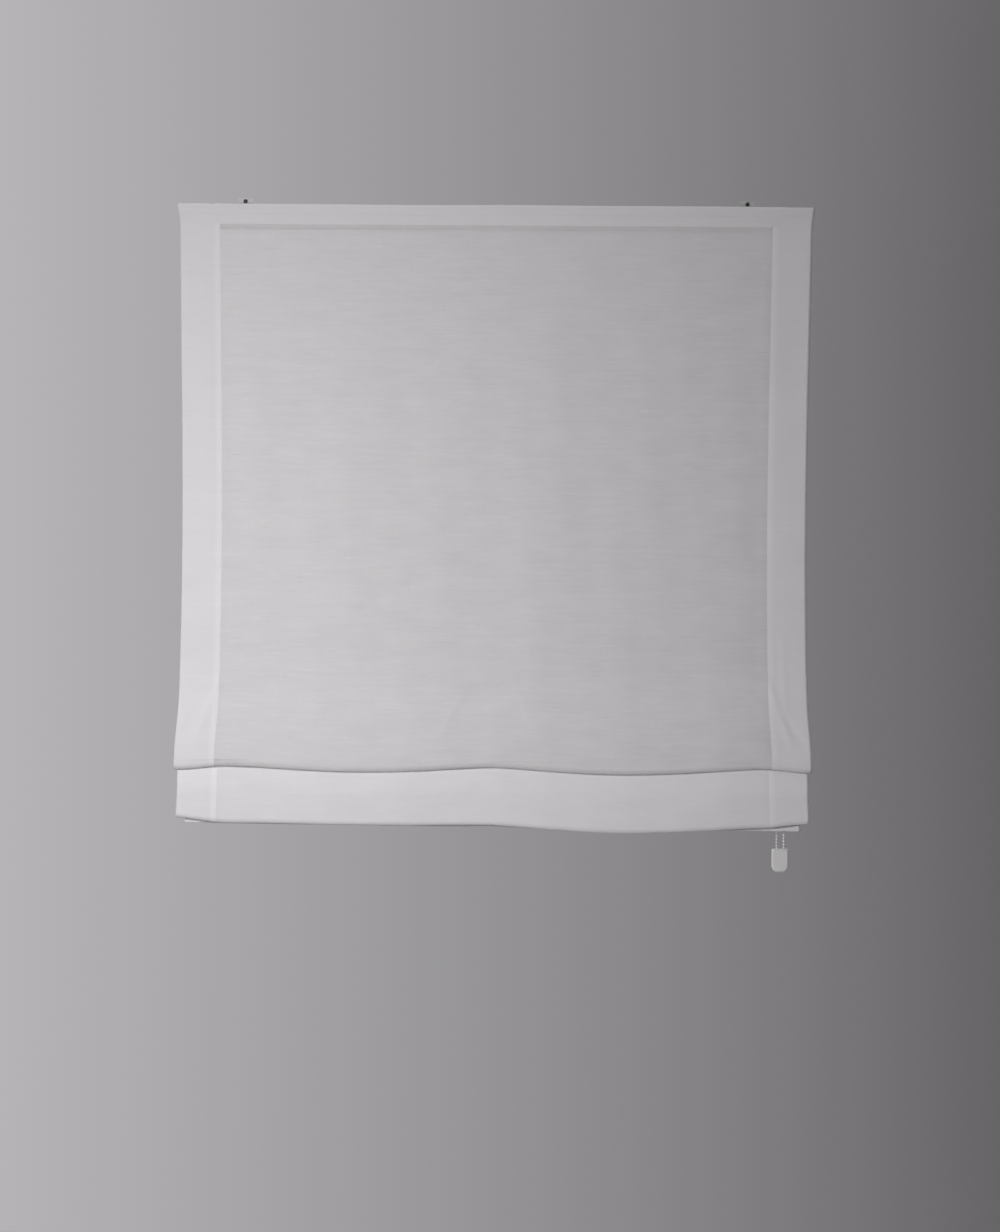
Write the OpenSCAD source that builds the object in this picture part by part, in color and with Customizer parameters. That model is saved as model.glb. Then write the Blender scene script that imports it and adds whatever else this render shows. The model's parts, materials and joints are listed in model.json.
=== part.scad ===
// Roman blind of sheer cloth, hung on two wall brackets and drawn up by a bead chain.
// Millimetres. +X is right, the front faces -Y, +Z is up.
// The wall is the plane y = 0, and the origin lies midway between the two wall screws.

/* [Cloth] */
// Finished width of the blind
blind_w = 1200; // [1000:10:1600]
// Length of the blind when it is let down flat
flat_drop = 1440; // [1425:5:1460]
// Thickness of one layer of cloth
cloth_t = 0.6; // [0.4:0.05:0.7]
// Width of the side hems
side_hem_w = 76; // [40:1:85]
// Height of the turned top hem
top_hem_h = 40; // [30:1:50]
// Height of the pocket that holds the bottom bar
pocket_h = 32; // [28:1:45]
// How far the top edge stands above the headrail
cloth_rise = 3.8; // [1:0.2:6]
// How far each side draws in at half height
waist = 8; // [0:1:12]
// How far each side flares out at the front fold
flare = 4; // [0:1:8]
// How far each end of the bottom hem lies inside the blind's width
hem_inset = 16; // [6:1:20]

/* [Folds] */
// Drop from the top edge to the lowest ring row, as the blind hangs
ring_drop = 1065; // [1055:1:1075]
// Cloth between two ring rows
ring_pitch = 238; // [230:1:246]
// Cloth below the lowest ring row
skirt_h = 115; // [100:1:125]
// Height between the two lowest ring rows, which rest on each other
ring_stack = 12; // [10:0.5:16]
// How far the front fold stands out from the rings
front_bulge = 17; // [16:0.5:22]
// How far the second fold stands out from the rings
second_bulge = 12; // [11:0.5:13]
// Radius of the turn at the bottom of the front fold
front_turn_r = 6.5; // [4:0.5:7]
// Radius of the turn at the bottom of the second fold
second_turn_r = 4.2; // [3:0.2:4.6]
// Radius of the crease where a ring is sewn on
crease_r = 1; // [0.8:0.1:1.2]
// Sag of the folds between the left and middle cords
sag_left = 10; // [0:1:16]
// Sag of the folds between the middle and right cords
sag_right = 14; // [0:1:18]
// Slope of the bottom hem in degrees, its right end low
hem_slope = 0.5; // [0:0.1:1]

/* [Rings and lift cords] */
// Distance of the outer cords from the sides of the blind
cord_inset = 95; // [92:1:110]
// Diameter of the lift cord
cord_d = 1.4; // [1:0.1:1.8]
// Outer diameter of a sewn ring
ring_d = 13; // [11:0.5:15]
// Thickness of a ring's wire
ring_wire = 2; // [1.5:0.1:2.5]
// Outer diameter of a cord adjuster
adjuster_d = 8; // [6:0.5:9]
// Height of a cord adjuster
adjuster_h = 12; // [8:1:18]
// Turns of cord wound on each spool as the blind hangs
wound_turns = 4; // [2:1:5]

/* [Headrail] */
// Distance of the headrail's ends from the sides of the blind
rail_inset = 12; // [8:1:20]
// Height of the headrail
rail_h = 40; // [40:1:46]
// Depth of the headrail
rail_d = 32; // [32:0.5:36]
// Wall of the headrail
rail_t = 1.5; // [1.2:0.1:1.8]
// Gap between the wall and the headrail
rail_standoff = 10; // [6:1:14]
// Clear height of the top channel
channel_h = 6.2; // [6:0.1:7]
// Slot of the top channel
channel_slot = 14; // [13:0.5:16]
// Mouth along the bottom of the headrail
mouth_w = 23; // [22.6:0.2:24]
// Plate of an end cap
cap_t = 2.5; // [1.5:0.5:4]
// Length of an end cap's plug
cap_plug = 12; // [8:1:20]
// Height of the hook and loop tapes
tape_h = 20; // [16:1:25]
// Thickness of each tape
tape_t = 1.2; // [0.8:0.1:1.6]

/* [Wall brackets] */
// Distance of the brackets from the sides of the blind
bracket_inset = 120; // [110:1:160]
// Width of a bracket
bracket_w = 28; // [24:1:34]
// Thickness of the bracket's steel
bracket_t = 2; // [1.5:0.25:2.5]
// Reach of the bracket's leg over the headrail
bracket_reach = 36; // [33:1:40]
// Height of the bracket above the screw
bracket_rise = 6; // [5:0.5:14]
// Drop from the screw to the top of the bracket's leg
leg_drop = 11; // [4.5:0.5:14]
// Diameter of the screw hole
screw_hole_d = 5; // [4:0.5:6]
// Diameter of the rivet that carries the turning clip
rivet_d = 5; // [4:0.5:6]
// Length of the turning clip's plate
clip_l = 27; // [25:0.5:27.5]
// Width of the turning clip's plate
clip_w = 12; // [11:0.5:12.5]
// Thickness of the turning clip's plate
clip_t = 2.5; // [2:0.1:2.8]
// Thickness of the turning clip's lever
lever_t = 1.5; // [1:0.1:2]
// Reach of the lever from its rivet
lever_reach = 15; // [12:0.5:15.5]

/* [Shaft and spools] */
// Side of the square shaft
shaft_w = 6; // [5:0.2:6.2]
// Radius of a spool's drum
drum_r = 9; // [8:0.1:9.4]
// Width of a spool's drum
drum_w = 18; // [16:1:24]
// Height of a spool's flange above its drum
flange_rise = 2.5; // [2:0.1:2.6]
// Thickness of a spool's flange
flange_t = 1.5; // [1:0.25:2]
// Radius of the journals that turn in the cradle
journal_r = 5; // [4.7:0.1:6]
// Thickness of the cradle's end plates
cradle_plate_t = 2; // [1.5:0.25:3]
// Thickness of the cradle's floor
cradle_floor_t = 2; // [1.5:0.25:2.5]

/* [Chain drive] */
// Distance of the chain from the side of the blind
drive_inset = 52.5; // [50:0.5:55]
// Pockets of the chain wheel
wheel_pockets = 8; // [7:1:8]
// Radius of the chain wheel's rims
wheel_rim_r = 10.5; // [10:0.1:11]
// Thickness of each rim
wheel_rim_t = 2; // [1.5:0.25:2.25]
// Radius of the wheel's hub in the cover
wheel_hub_r = 6; // [5.6:0.1:7]
// Wire of the wrap spring
spring_wire = 1; // [0.8:0.1:1.1]
// Turns of the wrap spring
spring_turns = 7; // [5:1:7]
// Wall of the drive housing
housing_wall = 3; // [2.5:0.25:3.5]
// Thickness of the drive cover
cover_t = 3; // [2:0.5:4]

/* [Bead chain] */
// Diameter of a bead
bead_d = 4.5; // [4:0.1:4.7]
// Distance from bead to bead
bead_pitch = 6; // [5.8:0.1:6.2]
// Diameter of the cord between the beads
link_d = 1.2; // [1:0.1:1.4]
// Drop from the top edge of the cloth to the top of the chain weight
weight_drop = 1219; // [1215:1:1300]
// Width of the chain weight
weight_w = 32; // [28:1:38]
// Height of the chain weight
weight_h = 44; // [38:1:54]
// Depth of the chain weight
weight_d = 12; // [10:0.5:16]
// Radius of the chain's turn inside the weight
weight_turn_r = 7; // [6:0.5:8]

/* [Bottom bar] */
// Height of the bottom bar
bar_h = 22; // [18:1:23]
// Thickness of the bottom bar
bar_t = 3; // [2.5:0.25:3.5]
// Distance of the bar's capped ends from the ends of the hem
bar_inset = 8; // [5:1:20]
// Length of a bar end cap
bar_cap_l = 14; // [8:1:24]
// Wall of a bar end cap
bar_cap_t = 0.6; // [0.4:0.1:0.8]

/* [Hidden] */

// Fits
fit = 0.1;           // between pieces that plug together
run_gap = 0.05;      // radial clearance of what turns
soft_gap = 0.2;      // between cloth and what it hangs on
clip_gap = 0.15;     // over and under the turning clip
pocket_gap = 0.4;    // between the bar's caps and the cloth of their pocket
free_gap = 0.3;      // round what passes or turns freely
spring_gap = 0.5;    // round the wrap spring
cut = 1;             // how far a cutting solid reaches past the face it cuts
$fn = 48;

// Places of the headrail and of what it carries
leg_top = -leg_drop;
leg_bottom = leg_top - bracket_t;
rail_top = leg_bottom - lever_t - 2 * clip_gap;
rail_bottom = rail_top - rail_h;
rail_back = -rail_standoff;
rail_front = rail_back - rail_d;
rail_y = (rail_back + rail_front) / 2;
rail_l = blind_w - 2 * rail_inset;
rail_inner_d = rail_d - 2 * rail_t;
channel_bottom = rail_top - rail_t - channel_h;
cavity_top = channel_bottom - rail_t;
cavity_bottom = rail_bottom + rail_t;
bracket_x = blind_w / 2 - bracket_inset;
cloth_top = rail_top + cloth_rise;
tape_z = (rail_top + rail_bottom) / 2;

// Shaft, spools and lift cords
flange_r = drum_r + flange_rise;
spool_gap = 0.8;
plate_gap = 1.5;
journal_over = 1;
axis_z = cavity_bottom + cradle_floor_t + spool_gap + flange_r;
cord_x = blind_w / 2 - cord_inset;
cord_y = rail_y - drum_r - cord_d / 2;
cord_xs = [-cord_x, 0, cord_x];
spool_half = drum_w / 2 + flange_t;
plate_in = spool_half + plate_gap;
journal_end = plate_in + cradle_plate_t + journal_over;
shaft_left = -cord_x - journal_end;

// Chain drive, along X from the chain's own plane
drive_x = blind_w / 2 - drive_inset;
wheel_pitch_r = wheel_pockets * bead_pitch / (2 * PI);
wheel_groove = bead_d + 2 * spring_gap;
wheel_half = wheel_groove / 2 + wheel_rim_t;
wheel_floor_r = wheel_pitch_r - bead_d / 2 - free_gap;
tooth_t = 1.2;
tooth_slot = link_d + 2 * free_gap;
clutch_wall = 1.4;
clutch_bore_r = shaft_w * sqrt(2) / 2 + free_gap;
clutch_hub_r = clutch_bore_r + clutch_wall;
spring_pitch = spring_wire + run_gap;
spring_l = spring_turns * spring_pitch;
skirt_t = 1.2;
skirt_r_in = clutch_hub_r + spring_wire + spring_gap;
skirt_r_out = skirt_r_in + skirt_t;
wheel_skirt_l = spring_l + spring_gap;
clutch_l = wheel_skirt_l + 2 * spring_gap;
hub_reach = 6;
rim_gap = 0.8;
chain_gap = 1.2;
housing_left = -wheel_half - clutch_l - housing_wall - spring_gap;
housing_right = wheel_half + hub_reach;
housing_top = cavity_top - free_gap;
housing_cavity_r = wheel_rim_r + rim_gap;
chain_slot_d = 2 * (wheel_pitch_r + bead_d / 2 + chain_gap);
chain_slot_w = bead_d + 2 * chain_gap;

// Bead chain and weight
weight_top = cloth_top - weight_drop;
turn_rise = 4;
knot_d = link_d + free_gap;
weight_turn_z = weight_top - weight_h / 2 + turn_rise;
bare_top = housing_cavity_r + bead_d / 2;

// Ring rows from the lowest up, measured from the top edge of the cloth
row_flat = flat_drop - skirt_h;
row_z = [
    cloth_top - ring_drop,
    cloth_top - ring_drop + ring_stack,
    for (k = [2 : 4]) cloth_top - row_flat + k * ring_pitch
];
ring_r = (ring_d - ring_wire) / 2;
ring_front = cord_y - ring_d / 2;

// Cloth section: distance from the wall and height of its bends
cloth_top_y = rail_front - 2 * tape_t - soft_gap - 1.5 * cloth_t;
cloth_ring_y = ring_front - soft_gap - cloth_t / 2;
front_y = cloth_ring_y - front_bulge;
second_y = cloth_ring_y - second_bulge;
front_z = (row_z[2] + row_z[1] - ring_pitch + (PI - 2) * front_turn_r) / 2;
second_z = (row_z[1] + row_z[0] - ring_pitch + (PI - 2) * second_turn_r) / 2;
hem_z = row_z[0] - skirt_h;
half_w = blind_w / 2;
hem_half_w = half_w - hem_inset;

// Bottom bar in its pocket
bar_cap_total = bar_t + 2 * (bar_cap_t + fit);
pocket_r = bar_cap_total / 2 + pocket_gap + cloth_t;
pocket_y = cloth_ring_y - cloth_t;
bar_y = pocket_y + pocket_r;
bar_bottom = hem_z + cloth_t + pocket_gap + bar_cap_t + fit;
bar_z = bar_bottom + bar_h / 2;
bar_half = hem_half_w - bar_inset - bar_cap_t - fit;

cloth_white = [0.90, 0.89, 0.87];
plastic_white = [0.86, 0.86, 0.85];
plastic_grey = [0.62, 0.62, 0.62];
rail_white = [0.88, 0.88, 0.87];
steel_grey = [0.60, 0.60, 0.61];
clear_ring = [0.93, 0.93, 0.92];

// Stands a shape drawn about the Z axis along the X axis, at the shaft.
module on_shaft(x = 0) {
    translate([x, rail_y, axis_z]) rotate([0, 90, 0]) children();
}

// Carries an outline drawn in Y and Z along X, from x0 to x1.
module along_x(x0, x1) {
    translate([x0, 0, 0]) rotate([90, 0, 90]) linear_extrude(x1 - x0) children();
}

// A rectangle with round corners, centred.
module round_rect(w, h, r) {
    square([w - 2 * r, h], center = true);
    square([w, h - 2 * r], center = true);
    for (x = [-1, 1], y = [-1, 1]) translate([x * (w / 2 - r), y * (h / 2 - r)]) circle(r);
}

// A bar with round ends, from the origin to +x or both ways.
module round_bar(from, to, w) {
    translate([from, -w / 2]) square([to - from, w]);
    translate([from, 0]) circle(w / 2);
    translate([to, 0]) circle(w / 2);
}

// Headrail: a channel for the clips above, a cavity with a mouth for the drive below.
module rail_section() {
    difference() {
        translate([rail_front, rail_bottom]) square([rail_d, rail_h]);
        translate([rail_front + rail_t, channel_bottom]) square([rail_inner_d, channel_h]);
        translate([rail_y - channel_slot / 2, channel_bottom])
            square([channel_slot, channel_h + rail_t + cut]);
        translate([rail_front + rail_t, cavity_bottom]) square([rail_inner_d, cavity_top - cavity_bottom]);
        translate([rail_y - mouth_w / 2, rail_bottom - cut]) square([mouth_w, rail_t + 2 * cut]);
    }
}

module headrail() {
    color(rail_white) along_x(-rail_l / 2, rail_l / 2) rail_section();
}

// End cap: a plate over the rail's end with a hollow plug inside the cavity.
module end_cap() {
    cavity_z = (cavity_top + cavity_bottom) / 2;
    plug_d = rail_inner_d - 2 * fit;
    plug_h = cavity_top - cavity_bottom - 2 * fit;
    plug_wall = 1.6;
    along_x(rail_l / 2, rail_l / 2 + cap_t)
        translate([rail_y, (rail_top + rail_bottom) / 2]) round_rect(rail_d, rail_h, 2);
    along_x(rail_l / 2 - cap_plug, rail_l / 2 + cap_t / 2)
        difference() {
            translate([rail_y, cavity_z]) square([plug_d, plug_h], center = true);
            translate([rail_y, cavity_z]) square([plug_d, plug_h] - 2 * plug_wall * [1, 1], center = true);
        }
}

module end_cap_right() {
    color(plastic_white) end_cap();
}

module end_cap_left() {
    color(plastic_white) mirror([1, 0, 0]) end_cap();
}

// Tapes that hold the cloth on the face of the headrail.
module tape(y) {
    translate([-rail_l / 2, y - tape_t, tape_z - tape_h / 2]) cube([rail_l, tape_t, tape_h]);
}

module hook_tape() {
    color(plastic_white) tape(rail_front);
}

module loop_tape() {
    color(cloth_white) tape(rail_front - tape_t);
}

// Wall bracket: bent steel, one screw hole in the wall leg and a riveted clip under the other.
module bracket_section() {
    bend_r = bracket_t;
    difference() {
        union() {
            translate([-bracket_t, leg_bottom]) square([bracket_t, bracket_rise - leg_bottom]);
            translate([-bracket_reach, leg_bottom]) square([bracket_reach, bracket_t]);
        }
        difference() {
            translate([-bend_r, leg_bottom - cut]) square([bend_r + cut, bend_r + cut]);
            translate([-bend_r, leg_bottom + bend_r]) circle(bend_r);
        }
    }
}

module wall_bracket(side) {
    color(steel_grey) translate([side * bracket_x, 0, 0])
        difference() {
            along_x(-bracket_w / 2, bracket_w / 2) bracket_section();
            rotate([90, 0, 0]) translate([0, 0, -cut])
                cylinder(d = screw_hole_d, h = bracket_t + 2 * cut);
            translate([0, rail_y, leg_bottom - cut]) cylinder(d = rivet_d, h = bracket_t + 2 * cut);
        }
}

module wall_bracket_left() {
    wall_bracket(-1);
}

module wall_bracket_right() {
    wall_bracket(1);
}

// Turning clip: a plate across the channel, a boss through its slot and a lever over the rail.
clip_top = rail_top - rail_t - 2 * clip_gap;
clip_bottom = clip_top - clip_t;
clip_boss_r = channel_slot / 2 - 1.2;

module turn_clip(side) {
    lever_top = leg_bottom - clip_gap;
    lever_bottom = lever_top - lever_t;
    lever_w = 8;
    color(plastic_grey) translate([side * bracket_x, rail_y, 0])
        difference() {
            union() {
                translate([0, 0, clip_bottom]) linear_extrude(clip_t)
                    rotate(90) round_bar((clip_w - clip_l) / 2, (clip_l - clip_w) / 2, clip_w);
                translate([0, 0, clip_top - clip_t / 2])
                    cylinder(r = clip_boss_r, h = lever_top - clip_top + clip_t / 2);
                translate([0, 0, lever_bottom]) linear_extrude(lever_t)
                    mirror([side < 0 ? 0 : 1, 0]) round_bar(0, lever_reach - lever_w / 2, lever_w);
            }
            translate([0, 0, clip_bottom - cut])
                cylinder(r = rivet_d / 2 + run_gap, h = lever_top - clip_bottom + 2 * cut);
        }
}

module turn_clip_left() {
    turn_clip(-1);
}

module turn_clip_right() {
    turn_clip(1);
}

module clip_rivets() {
    head_t = 1.2;
    head_r = rivet_d / 2 + 1.8;
    foot = clip_bottom - clip_gap;
    shank_r = rivet_d / 2 - run_gap / 2;
    color(steel_grey) for (side = [-1, 1]) translate([side * bracket_x, rail_y, 0])
        rotate_extrude() polygon([
            [0, foot - head_t], [head_r, foot - head_t], [head_r, foot], [shank_r, foot],
            [shank_r, leg_top], [head_r, leg_top], [head_r * 0.7, leg_top + head_t], [0, leg_top + head_t]
        ]);
}

// Square shaft, from the left spool's journal to the far end of the chain wheel's hub.
module drive_shaft() {
    color(steel_grey) translate([shaft_left, rail_y - shaft_w / 2, axis_z - shaft_w / 2])
        cube([drive_x + housing_right - shaft_left, shaft_w, shaft_w]);
}

module shaft_bore(from, to) {
    translate([0, 0, (from + to) / 2])
        cube([shaft_w + 2 * fit, shaft_w + 2 * fit, to - from + 2 * cut], center = true);
}

// Cord spool: drum, two flanges and a journal at each end.
module cord_spool(x) {
    color(plastic_white) on_shaft(x) difference() {
        rotate_extrude() polygon([
            [0, -journal_end], [journal_r, -journal_end], [journal_r, -spool_half],
            [flange_r, -spool_half], [flange_r, -drum_w / 2], [drum_r, -drum_w / 2],
            [drum_r, drum_w / 2], [flange_r, drum_w / 2], [flange_r, spool_half],
            [journal_r, spool_half], [journal_r, journal_end], [0, journal_end]
        ]);
        shaft_bore(-journal_end, journal_end);
    }
}

module cord_spool_left() {
    cord_spool(cord_xs[0]);
}

module cord_spool_middle() {
    cord_spool(cord_xs[1]);
}

module cord_spool_right() {
    cord_spool(cord_xs[2]);
}

// Spool cradle: a floor on the rail's lips, two end plates with bearings and a hole for the cord.
module cradle_plate() {
    plate_d = 2 * (journal_r + 4);
    translate([rail_y, axis_z]) circle(d = plate_d);
    translate([rail_y - plate_d / 2, cavity_bottom]) square([plate_d, axis_z - cavity_bottom]);
}

module spool_cradle(x) {
    floor_d = rail_inner_d - 2 * fit;
    half = plate_in + cradle_plate_t;
    cord_hole_r = cord_d / 2 + 1;
    color(plastic_white) difference() {
        union() {
            for (side = [-1, 1])
                translate([x + side * (plate_in + cradle_plate_t / 2) - cradle_plate_t / 2, 0, 0])
                    along_x(0, cradle_plate_t) cradle_plate();
            translate([x - half, rail_y - floor_d / 2, cavity_bottom])
                cube([2 * half, floor_d, cradle_floor_t]);
        }
        on_shaft(x - half - cut) cylinder(r = journal_r + run_gap, h = 2 * (half + cut));
        translate([x, cord_y, cavity_bottom - cut])
            cylinder(r = cord_hole_r, h = cradle_floor_t + 2 * cut);
    }
}

module spool_cradle_left() {
    spool_cradle(cord_xs[0]);
}

module spool_cradle_middle() {
    spool_cradle(cord_xs[1]);
}

module spool_cradle_right() {
    spool_cradle(cord_xs[2]);
}

// Drive housing: a moulded box with a round cavity, a slot for the chain and the clutch hub.
module drive_housing() {
    wide = rail_inner_d - 2 * fit;
    color(plastic_white) {
        difference() {
            translate([drive_x + housing_left, rail_y - wide / 2, cavity_bottom])
                cube([housing_right - housing_left, wide, housing_top - cavity_bottom]);
            on_shaft(drive_x + housing_left + housing_wall)
                cylinder(r = housing_cavity_r, h = housing_right - housing_left);
            on_shaft(drive_x + housing_left - cut)
                cylinder(r = clutch_bore_r, h = housing_wall + 2 * cut);
            translate([drive_x - chain_slot_w / 2, rail_y - chain_slot_d / 2, cavity_bottom - cut])
                cube([chain_slot_w, chain_slot_d, axis_z - cavity_bottom + cut]);
        }
        on_shaft(drive_x + housing_left) difference() {
            cylinder(r = clutch_hub_r, h = housing_wall + clutch_l);
            translate([0, 0, -cut]) cylinder(r = clutch_bore_r, h = housing_wall + clutch_l + 2 * cut);
        }
    }
}

// Drive cover: closes the housing and carries the wheel's hub.
module drive_cover() {
    wide = rail_inner_d - 2 * fit;
    rim_l = 2;
    color(plastic_white) difference() {
        union() {
            translate([drive_x + housing_right, rail_y - wide / 2, cavity_bottom])
                cube([cover_t, wide, housing_top - cavity_bottom]);
            on_shaft(drive_x + housing_right - rim_l)
                cylinder(r = housing_cavity_r - fit, h = rim_l + cover_t / 2);
        }
        on_shaft(drive_x + housing_right - rim_l - cut)
            cylinder(r = wheel_hub_r + run_gap, h = rim_l + cover_t + 2 * cut);
    }
}

// Chain wheel: two rims, split teeth between the bead pockets, a skirt over the spring and a hub.
module chain_wheel() {
    tooth_top = wheel_pitch_r + bead_d / 4;
    tooth_foot = wheel_floor_r - tooth_t / 2;
    tooth_w = (wheel_groove - tooth_slot + wheel_rim_t) / 2;
    hub_l = housing_right + cover_t;
    color(plastic_white) on_shaft(drive_x) difference() {
        union() {
            rotate_extrude() polygon([
                [0, -wheel_half], [skirt_r_in, -wheel_half],
                [skirt_r_in, -wheel_half - wheel_skirt_l], [skirt_r_out, -wheel_half - wheel_skirt_l],
                [skirt_r_out, -wheel_half], [wheel_rim_r, -wheel_half],
                [wheel_rim_r, -wheel_groove / 2], [wheel_floor_r, -wheel_groove / 2],
                [wheel_floor_r, wheel_groove / 2], [wheel_rim_r, wheel_groove / 2],
                [wheel_rim_r, wheel_half], [wheel_hub_r, wheel_half],
                [wheel_hub_r, hub_l], [0, hub_l]
            ]);
            for (k = [0 : wheel_pockets - 1], side = [-1, 1]) rotate(360 * (k + 0.5) / wheel_pockets)
                translate([tooth_foot, -tooth_t / 2, side < 0 ? -tooth_slot / 2 - tooth_w : tooth_slot / 2])
                    cube([tooth_top - tooth_foot, tooth_t, tooth_w]);
        }
        shaft_bore(-wheel_half, hub_l);
    }
}

// Wrap spring: close turns round the clutch hub.
module wrap_spring() {
    coil_r = clutch_hub_r + fit + spring_wire / 2;
    start = -wheel_half - spring_gap - spring_l;
    color(steel_grey) on_shaft(drive_x + start) for (k = [0 : spring_turns - 1])
        translate([0, 0, (k + 0.5) * spring_pitch])
            rotate_extrude() translate([coil_r, 0]) circle(d = spring_wire);
}

// Lift cord: wound turns on the spool and a straight run down to the lowest ring.
module lift_cord(x) {
    cord_foot = row_z[0] - adjuster_h;
    turn_r = drum_r + cord_d / 2 + run_gap;
    turn_pitch = cord_d + fit;
    color(cloth_white) {
        translate([x, cord_y, cord_foot]) cylinder(d = cord_d, h = axis_z - cord_foot);
        on_shaft(x) for (k = [1 : wound_turns]) translate([0, 0, k * turn_pitch])
            rotate_extrude() translate([turn_r, 0]) circle(d = cord_d);
    }
}

module lift_cord_left() {
    lift_cord(cord_xs[0]);
}

module lift_cord_middle() {
    lift_cord(cord_xs[1]);
}

module lift_cord_right() {
    lift_cord(cord_xs[2]);
}

// A row of rings sewn to the back of the cloth, one round each lift cord.
module ring_row(k) {
    color(clear_ring) for (x = cord_xs) translate([x, cord_y, row_z[k]])
        rotate_extrude() translate([ring_r, 0]) circle(d = ring_wire);
}

module rings_lowest() {
    ring_row(0);
}

module rings_second() {
    ring_row(1);
}

module rings_third() {
    ring_row(2);
}

module rings_fourth() {
    ring_row(3);
}

module rings_top() {
    ring_row(4);
}

// Cord adjusters: waisted toggles under the lowest rings, where the cords end.
module cord_adjusters() {
    top = row_z[0] - ring_wire / 2 - fit;
    bore_r = cord_d / 2 + fit;
    waist_r = adjuster_d / 2 - 1;
    shoulder = 2.5;
    color(plastic_white) for (x = cord_xs) translate([x, cord_y, top - adjuster_h])
        rotate_extrude() polygon([
            [bore_r, 0], [adjuster_d / 2 - 0.8, 0], [adjuster_d / 2, 0.8], [adjuster_d / 2, shoulder],
            [waist_r, shoulder + 1], [waist_r, adjuster_h - shoulder - 1],
            [adjuster_d / 2, adjuster_h - shoulder], [adjuster_d / 2, adjuster_h - 0.8],
            [adjuster_d / 2 - 0.8, adjuster_h], [bore_r, adjuster_h]
        ]);
}

// Cloth: a section of bends carried across the width as one sheet.
// A section point is [y, z, share of the sag, share of the hem's slope, half width, layers].
function mix(a, b, t) = a + (b - a) * t;
function smooth(t) = let (c = min(max(t, 0), 1)) c * c * (3 - 2 * c);
function run(from, to, n) = [for (i = [0 : n - 1]) mix(from, to, i / n)];
function bend(p, n) = [
    for (i = [0 : n - 1])
        let (t = i / n, s = 1 - t)
        s * s * s * p[0] + 3 * s * s * t * p[1] + 3 * s * t * t * p[2] + t * t * t * p[3]
];
function turn(c, r, a0, a1, n) = [
    for (i = [0 : n - 1]) let (a = mix(a0, a1, i / n)) c + r * [cos(a), sin(a)]
];

// Half width at a height of the front panel: drawn in at half height, flared at the front fold.
function panel_half_w(z) =
    let (share = (cloth_top - z) / (cloth_top - front_z))
    half_w - waist * sin(180 * min(pow(share, 1.3), 1)) + flare * smooth((share - 0.88) / 0.1);

function spread(points, sag, slope, w0, w1, layers) = [
    for (i = [0 : len(points) - 1])
        let (t = i / len(points))
        [points[i].x, points[i].y, mix(sag[0], sag[1], smooth(t)),
         mix(slope[0], slope[1], t), mix(w0, w1, t), layers]
];
function panel(points, sag, layers) = [
    for (i = [0 : len(points) - 1])
        [points[i].x, points[i].y, mix(sag[0], sag[1], smooth(i / len(points))),
         0, panel_half_w(points[i].y), layers]
];

band_foot = cloth_top - top_hem_h;
second_half_w = half_w - 2;
front_half_w = half_w + flare;
pocket_top = hem_z + pocket_h;
hem_step = 1;
crease_front_y = cloth_ring_y - 2 * crease_r;

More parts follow.
